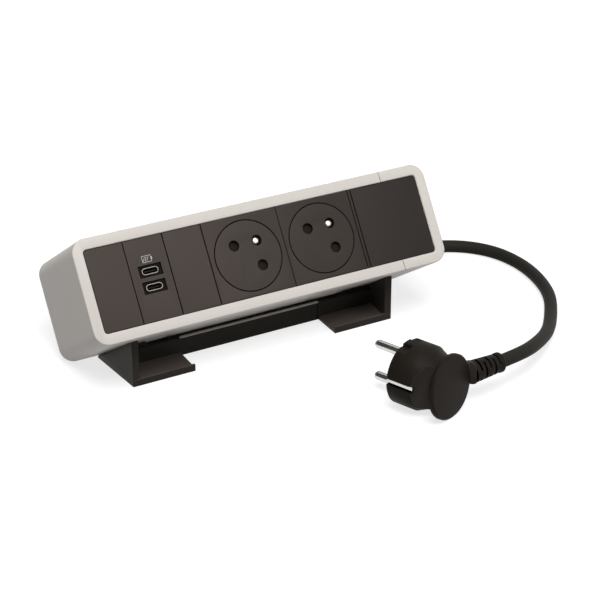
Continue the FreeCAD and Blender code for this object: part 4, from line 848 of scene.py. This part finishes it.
class POWERBLOCK_OT_stage(bpy.types.Operator):
    """Makes the camera, the pale floor, the world and the soft lamps"""

    bl_idname = "powerblock.stage"
    bl_label = "Studio"

    def execute(self, context):
        studio = context.scene.block_studio
        rest()
        bpy.ops.object.camera_add(
            location=CAMERA_PLACE, rotation=[radians(angle) for angle in CAMERA_TURN]
        )
        camera = context.object
        camera.name = "photo_camera"
        camera.data.lens = CAMERA_LENS
        camera.data.sensor_width = 36
        camera.data.clip_end = 50
        context.scene.camera = camera

        rest()
        bpy.ops.mesh.primitive_plane_add(size=studio.floor_width)
        floor = context.object
        floor.name = "floor"
        floor.data.materials.append(floor_material())

        softbox("key_light", KEY_LIGHT, studio.key_power)
        softbox("top_light", TOP_LIGHT, studio.top_power)
        softbox("fill_light", FILL_LIGHT, studio.fill_power)
        dark_card("back_card", BACK_CARD)
        white_world(studio.surround)
        context.scene.view_settings.view_transform = "Standard"
        return {"FINISHED"}


def coil_place(angle):
    """Radius and height of the coil's middle line at a turning angle in degrees."""
    if angle <= COIL_DROP:
        return COIL_INNER + COIL_PITCH * (COIL_DROP - angle) / 360, 3 * CORD_RADIUS
    if angle < COIL_LANDED:
        share = (angle - COIL_DROP) / (COIL_LANDED - COIL_DROP)
        fall = share * share * (3 - 2 * share)
        return COIL_INNER, CORD_RADIUS * (3 - 2 * fall)
    return COIL_INNER + COIL_PITCH * (angle - COIL_LANDED) / 360, CORD_RADIUS


def coil_points():
    """The oval coil, turn after turn: inwards on top, one step down, then outwards below."""
    points = []
    for angle in range(COIL_START, COIL_END + 1, COIL_STEP):
        radius, height = coil_place(angle)
        across = COIL_Y + radius * sin(radians(angle))
        along = radius * cos(radians(angle))
        part = angle % 360
        if part in (90, 270):
            ends = (COIL_RIGHT, COIL_LEFT) if part == 90 else (COIL_LEFT, COIL_RIGHT)
            for k in range(RUN_POINTS + 1):
                x = ends[0] + (ends[1] - ends[0]) * k / RUN_POINTS
                points.append((x, across, height))
        else:
            centre = COIL_LEFT if 90 < part < 270 else COIL_RIGHT
            points.append((centre + along, across, height))
    return points


def relief_end():
    """Where the cord enters the plug's sleeve."""
    return plug_point(
        RELIEF_END * cos(RELIEF_TURN), RELIEF_HEIGHT + RELIEF_END * sin(RELIEF_TURN), 0
    )


class POWERBLOCK_OT_cord(bpy.types.Operator):
    """Makes the cord: out of its sleeve, round the coil behind the block, and to the plug"""

    bl_idname = "powerblock.cord"
    bl_label = "Cord"

    def execute(self, context):
        sizes = context.scene.block_sizes
        start = block_point(*BOOT_END)
        middle = [Vector(p) * MM for p in LEAD_IN + coil_points() + LEAD_OUT]
        points = [start, *middle, relief_end()]
        curve = bpy.data.curves.new("cord_line", "CURVE")
        curve.dimensions = "3D"
        spline = curve.splines.new("NURBS")
        spline.points.add(len(points) - 1)
        for knot, place in zip(spline.points, points):
            knot.co = (*place, 1)
        spline.order_u = 3
        spline.use_endpoint_u = True
        spline.resolution_u = 6
        curve.bevel_depth = sizes.cord_diameter / 2
        curve.bevel_resolution = 6
        curve.use_fill_caps = True
        cord = bpy.data.objects.new("cord", curve)
        context.scene.collection.objects.link(cord)
        dress(cord, cord_rubber(), "base",
              ("cord_from_block", "cord_coil", "cord_to_plug"))

        ties = copy_of("coil_ties", "hook_ties")
        soften(round_edges(ties, TIE_ROUNDING * MM))
        dress(ties, bracket_plastic(), "base", ("coil_ties",))

        boot = copy_of("cord_boot", "cord_sleeve")
        soften(round_edges(boot, BOOT_ROUNDING * MM))
        dress(boot, plug_rubber(), "base", ("cord_boot",))
        finish_nodes(cord_rubber(), "cord_from_block", "cord_coil", "cord_to_plug",
                     "cord_inner_end")
        return {"FINISHED"}


class POWERBLOCK_OT_plug(bpy.types.Operator):
    """Makes the angled plug with its pins, side contacts and ribbed sleeve"""

    bl_idname = "powerblock.plug"
    bl_label = "Plug"

    def execute(self, context):
        sizes = context.scene.block_sizes
        shell = copy_of("plug_body", "plug_shell")
        # the boss and the finger hollow are painted lighter, as painted light on their shaded faces
        paint(shell, plug_rubber(), boss_painted_light_rubber())
        self.mark_boss(shell)
        subtract(shell, paint(self.finger_hollow(), boss_painted_light_rubber()))
        round_edges(shell, sizes.plug_rounding)
        dress(soften(shell), None, "base", ("plug_body",))
        sleeve = copy_of("plug_strain_relief", "plug_sleeve")
        # the sleeve's slots are painted near black as painted shade
        paint(sleeve, plug_rubber(), joint_and_shade_plastic())
        self.paint_shade_in_slots(sleeve)
        round_edges(sleeve, SLEEVE_ROUNDING * MM)
        dress(soften(sleeve), None, "base", ("plug_strain_relief",))
        clips = round_edges(copy_of("plug_earth_clips", "plug_clips"), CLIP_ROUNDING * MM)
        dress(soften(clips), nickel(), "base", ("plug_earth_clips",))
        finish_nodes(nickel(), "plug_pins")
        return {"FINISHED"}

    @staticmethod
    def finger_hollow():
        """A rounded form, cut flat towards the grip disc, that hollows the plug's side."""
        rest()
        bpy.ops.mesh.primitive_uv_sphere_add(segments=64, ring_count=32, radius=1)
        form = bpy.context.object
        form.matrix_world = (
            PLUG_PLACE @ Matrix.Translation(Vector(HOLLOW_PLACE) * MM)
            @ Matrix.Diagonal((*(reach * MM for reach in HOLLOW_REACH), 1))
        )
        bpy.ops.object.transform_apply(location=True, rotation=True, scale=True)
        bpy.ops.object.mode_set(mode="EDIT")
        bpy.ops.mesh.select_all(action="SELECT")
        bpy.ops.mesh.bisect(
            plane_co=plug_point(0, HOLLOW_END, 0), plane_no=PLUG_PLACE.to_3x3() @ Vector((0, 1, 0)),
            use_fill=True, clear_inner=True,
        )
        bpy.ops.object.mode_set(mode="OBJECT")
        return form

    @staticmethod
    def mark_boss(shell):
        """Gives the faces of the sleeve's boss the second material, painted lighter as painted
        light.
        """
        back = PLUG_PLACE.inverted()
        for face in shell.data.polygons:
            x, y, z = (back @ face.center) / MM
            off_axis = (y - RELIEF_HEIGHT) * cos(RELIEF_TURN) - x * sin(RELIEF_TURN)
            if x > BOSS_START and Vector((off_axis, z)).length < BOSS_RADIUS:
                face.material_index = 1

    @staticmethod
    def paint_shade_in_slots(sleeve):
        """Gives the walls and floors of the sleeve's slots the second material, near black as
        painted shade.
        """
        back = PLUG_PLACE.inverted()
        axis = PLUG_PLACE.to_3x3() @ Vector((cos(RELIEF_TURN), sin(RELIEF_TURN), 0))
        for face in sleeve.data.polygons:
            x, y, z = (back @ face.center) / MM
            along = x * cos(RELIEF_TURN) + (y - RELIEF_HEIGHT) * sin(RELIEF_TURN)
            off_axis = (y - RELIEF_HEIGHT) * cos(RELIEF_TURN) - x * sin(RELIEF_TURN)
            deep = Vector((off_axis, z)).length < SLOT_DEPTH_RADIUS
            wall = abs(face.normal.dot(axis)) > 0.7
            if SLOTS_START < along < SLOTS_END and (deep or wall):
                face.material_index = 1


class POWERBLOCK_OT_housing(bpy.types.Operator):
    """Rounds and colours the light shell, its right-hand end and its rear lid"""

    bl_idname = "powerblock.housing"
    bl_label = "Shell"

    def execute(self, context):
        sizes = context.scene.block_sizes
        for node, name in (("housing_shell", "shell"), ("right_end_cap", "shell_end")):
            piece = paint(copy_of(node, name), shell_plastic(), joint_and_shade_plastic())
            if node == "right_end_cap":
                subtract(piece, paint(self.outside_corner(), shell_plastic()))
            round_edges(piece, sizes.shell_rounding, self.on_front)
            round_edges(piece, SHELL_JOINT_ROUNDING * MM, self.on_joint, second=True)
            dress(soften(piece), None, "base", (node,))
        finish_nodes(shell_plastic(), "rear_cover")
        finish_nodes(nickel(), "rear_cover_screws")
        return {"FINISHED"}

    @staticmethod
    def outside_corner():
        """The room outside the end's rounded corner, where the clamp's rest stands proud."""
        room = slab(REST_TRIM_PLACE, REST_TRIM_SIZE, BLOCK_PLACE)
        rest()
        bpy.ops.mesh.primitive_cylinder_add(
            vertices=256, radius=REST_CORNER_RADIUS * MM, depth=2 * REST_TRIM_SIZE[2] * MM
        )
        corner = bpy.context.object
        corner.matrix_world = BLOCK_PLACE @ Matrix.Translation(Vector(REST_CORNER_PLACE) * MM)
        bpy.ops.object.transform_apply(location=True, rotation=True, scale=True)
        return subtract(room, corner)

    @staticmethod
    def on_front(start, end):
        """True for an edge that lies in the plane of the front, but not along the joint."""
        ends = [BLOCK_PLACE.inverted() @ place for place in (start, end)]
        if all(abs(place.x - SHELL_JOINT * MM) < JOINT_REACH * MM for place in ends):
            return False
        return all(abs(place.z) < FRONT_REACH * MM for place in ends)

    @staticmethod
    def on_joint(start, end):
        """True for an outer edge of the joint between the shell and its right-hand end."""
        ends = [BLOCK_PLACE.inverted() @ place for place in (start, end)]
        return all(
            abs(place.x - SHELL_JOINT * MM) < JOINT_REACH * MM
            and (abs(place.z) < RIM_REACH * MM or not MM < place.y < (BLOCK_HEIGHT - 1) * MM)
            for place in ends
        )


class POWERBLOCK_OT_plates(bpy.types.Operator):
    """Rounds and colours the plain dark plates of the front"""

    bl_idname = "powerblock.plates"
    bl_label = "Front plates"

    def execute(self, context):
        sizes = context.scene.block_sizes
        for node in ("left_blank_plate", "centre_blank_plate", "divider_strip", "usb_plate"):
            piece = paint(copy_of(node, f"{node}_face"), face_plastic(), joint_and_shade_plastic(),
                          recess_shade_plastic())
            # holes and windows behind the front are painted darker as painted shade
            paint_shade_in_depths(piece, 2)
            round_edges(piece, sizes.face_rounding, near_front, second=True)
            dress(soften(piece), None, "base", (node,))

        # the two plates at the right read as one: their joint is filled and left sharp
        plates = [copy_of("right_blank_plate", "right_plate_face"),
                  copy_of("end_cap_plate", "end_plate_face"),
                  slab(JOINT_FILLER_PLACE, JOINT_FILLER_SIZE, BLOCK_PLACE)]
        for piece in plates:
            paint(piece, face_plastic(), joint_and_shade_plastic())
        for piece in plates[:2]:
            round_edges(piece, sizes.face_rounding, self.off_joint, second=True)
        rest()
        for piece in plates:
            piece.select_set(True)
        context.view_layer.objects.active = plates[0]
        bpy.ops.object.join()
        dress(soften(plates[0]), None, "base",
              ("right_blank_plate", "end_cap_plate"))
        return {"FINISHED"}

    @staticmethod
    def off_joint(start, end):
        """True for an edge near the front that isn't along the joint of the two plates."""
        back = BLOCK_PLACE.inverted()
        middle = back @ ((start + end) / 2)
        return near_front(start, end) and abs(middle.x - JOINT_FILLER_PLACE[0] * MM) > MM


class POWERBLOCK_OT_sockets(bpy.types.Operator):
    """Rounds and colours the square plates and the round faces of the two sockets"""

    bl_idname = "powerblock.sockets"
    bl_label = "Sockets"

    def execute(self, context):
        sizes = context.scene.block_sizes
        for k in (1, 2):
            plate = copy_of(f"socket_plate_{k}", f"socket_{k}_plate_face")
            paint(plate, face_plastic(), joint_and_shade_plastic())
            round_edges(plate, sizes.face_rounding, near_front, second=True)
            dress(soften(plate), None, "base", (f"socket_plate_{k}",))
            disc = copy_of(f"socket_disc_{k}", f"socket_{k}_round_face")
            paint(disc, face_plastic(), joint_and_shade_plastic(), inner_and_shade_plastic())
            # the walls of the round face's holes are painted darker as painted shade
            paint_shade_in_depths(disc, 2)
            round_edges(disc, sizes.face_rounding, near_front, second=True)
            dress(soften(disc), None, f"disc_{k}", (f"socket_disc_{k}",))
            finish_nodes(inner_and_shade_plastic(), f"socket_case_{k}")
            finish_nodes(inner_and_shade_plastic(), f"pin_shutter_{k}")
            finish_nodes(nickel(), f"shutter_clip_{k}")
            self.sinking_spring(k)
            finish_nodes(pin_tip_metal(), f"earth_pin_{k}")
        return {"FINISHED"}

    @staticmethod
    def sinking_spring(k):
        """The spring behind a round face, as a smooth copy with a mesh of its own."""
        spring = copy_of(f"disc_spring_{k}", f"socket_{k}_spring")
        dress(soften(spring), nickel(), "base", (f"disc_spring_{k}",))
        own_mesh(spring)


def stroke(x, y, width, height, turn):
    """One printed stroke on the charger's plate."""
    return slab((x, y, INK_LEVEL), (width, height, INK_HEIGHT), BLOCK_PLACE, radians(turn))


class POWERBLOCK_OT_charger(bpy.types.Operator):
    """Colours the charger's two ports and prints the charging symbol over them"""

    bl_idname = "powerblock.charger"
    bl_label = "Charger"

    def execute(self, context):
        finish_nodes(port_metal(), "usb_port_shells")
        finish_nodes(inner_and_shade_plastic(), "usb_port_tongues")
        strokes = [stroke(*place) for place in SYMBOL_STROKES]
        rest()
        for part in strokes:
            part.select_set(True)
        context.view_layer.objects.active = strokes[0]
        bpy.ops.object.join()
        symbol = context.object
        symbol.name = "charge_symbol"
        dress(symbol, printed_ink())
        return {"FINISHED"}


class POWERBLOCK_OT_bracket(bpy.types.Operator):
    """Rounds and colours the wedge bracket, its pads and its screws"""

    bl_idname = "powerblock.bracket"
    bl_label = "Bracket"

    def execute(self, context):
        sizes = context.scene.block_sizes
        piece = copy_of("desk_bracket", "wedge_bracket")
        paint(piece, bracket_plastic(), bracket_top_painted_light_plastic(), bracket_side_plastic())
        # the feet's upward-facing faces are painted lighter as painted light from above
        for face in piece.data.polygons:
            if face.normal.z > 0.9 and face.center.z < FOOT_TOP_HEIGHT * MM:
                face.material_index = 1
            elif face.normal.x < -0.9:
                face.material_index = 2
        round_edges(piece, sizes.bracket_rounding)
        dress(soften(piece), None, "base", ("desk_bracket",))
        # a light lip along the bar's top edge: its colour is a painted highlight
        lip = slab(BAR_LIP_PLACE, BAR_LIP_SIZE, Matrix())
        lip.name = "bar_highlight_lip"
        round_edges(lip, LIP_ROUNDING * MM)
        dress(soften(lip), bar_highlight_plastic())
        joint = slab(BAR_JOINT_PLACE, BAR_JOINT_SIZE, Matrix())
        joint.name = "bar_joint"
        dress(joint, joint_and_shade_plastic())
        finish_nodes(cord_rubber(), "grip_pads")
        finish_nodes(nickel(), "bracket_screws")
        return {"FINISHED"}


class POWERBLOCK_OT_inside(bpy.types.Operator):
    """Colours the pieces inside the block"""

    bl_idname = "powerblock.inside"
    bl_label = "Inside"

    def execute(self, context):
        brass = metal("brass_finish", (0.78, 0.56, 0.26), roughness=0.25)
        finish_nodes(brass, "usb_feed_pins", "live_strip", "neutral_strip", "earth_strip",
                     "live_contact_1", "live_contact_2", "neutral_contact_1",
                     "neutral_contact_2")
        finish_nodes(inner_and_shade_plastic(), "module_frame", "usb_charger_case", "terminal_block",
                     "cord_clamp", "usb_transformer", "usb_capacitor")
        finish_nodes(nickel(), "terminal_screws", "cord_clamp_screws")
        for name, colour, roughness, node in (
            ("board_finish", (0.02, 0.12, 0.05), 0.35, "usb_circuit_board"),
            ("brown_finish", (0.15, 0.055, 0.025), 0.4, "live_core_wire"),
            ("blue_finish", (0.03, 0.1, 0.4), 0.4, "neutral_core_wire"),
            ("green_finish", (0.3, 0.45, 0.05), 0.4, "earth_core_wire"),
        ):
            finish_nodes(plastic(name, colour, roughness=roughness), node)
        return {"FINISHED"}


STEPS = (
    POWERBLOCK_OT_stage,
    POWERBLOCK_OT_housing,
    POWERBLOCK_OT_plates,
    POWERBLOCK_OT_sockets,
    POWERBLOCK_OT_charger,
    POWERBLOCK_OT_bracket,
    POWERBLOCK_OT_inside,
    POWERBLOCK_OT_plug,
    POWERBLOCK_OT_cord,
)


class POWERBLOCK_PT_panel(bpy.types.Panel):
    """Lists the steps that dress the block"""

    bl_label = "Power block"
    bl_idname = "POWERBLOCK_PT_panel"
    bl_space_type = "VIEW_3D"
    bl_region_type = "UI"
    bl_category = "Power block"

    def draw(self, context):
        layout = self.layout
        for step in STEPS:
            layout.operator(step.bl_idname)
        for settings in (context.scene.block_sizes, context.scene.block_colours,
                         context.scene.block_studio):
            column = layout.column()
            for key in settings.__annotations__:
                column.prop(settings, key)


CLASSES = (BlockSizes, BlockColours, StudioSettings, *STEPS, POWERBLOCK_PT_panel)


def register():
    for cls in CLASSES:
        bpy.utils.register_class(cls)
    bpy.types.Scene.block_sizes = bpy.props.PointerProperty(type=BlockSizes)
    bpy.types.Scene.block_colours = bpy.props.PointerProperty(type=BlockColours)
    bpy.types.Scene.block_studio = bpy.props.PointerProperty(type=StudioSettings)


def unregister():
    del bpy.types.Scene.block_studio
    del bpy.types.Scene.block_colours
    del bpy.types.Scene.block_sizes
    for cls in reversed(CLASSES):
        bpy.utils.unregister_class(cls)


def main():
    register()
    bpy.ops.powerblock.stage()
    bpy.ops.powerblock.housing()
    bpy.ops.powerblock.plates()
    bpy.ops.powerblock.sockets()
    bpy.ops.powerblock.charger()
    bpy.ops.powerblock.bracket()
    bpy.ops.powerblock.inside()
    bpy.ops.powerblock.plug()
    bpy.ops.powerblock.cord()


if __name__ == "__main__":
    main()
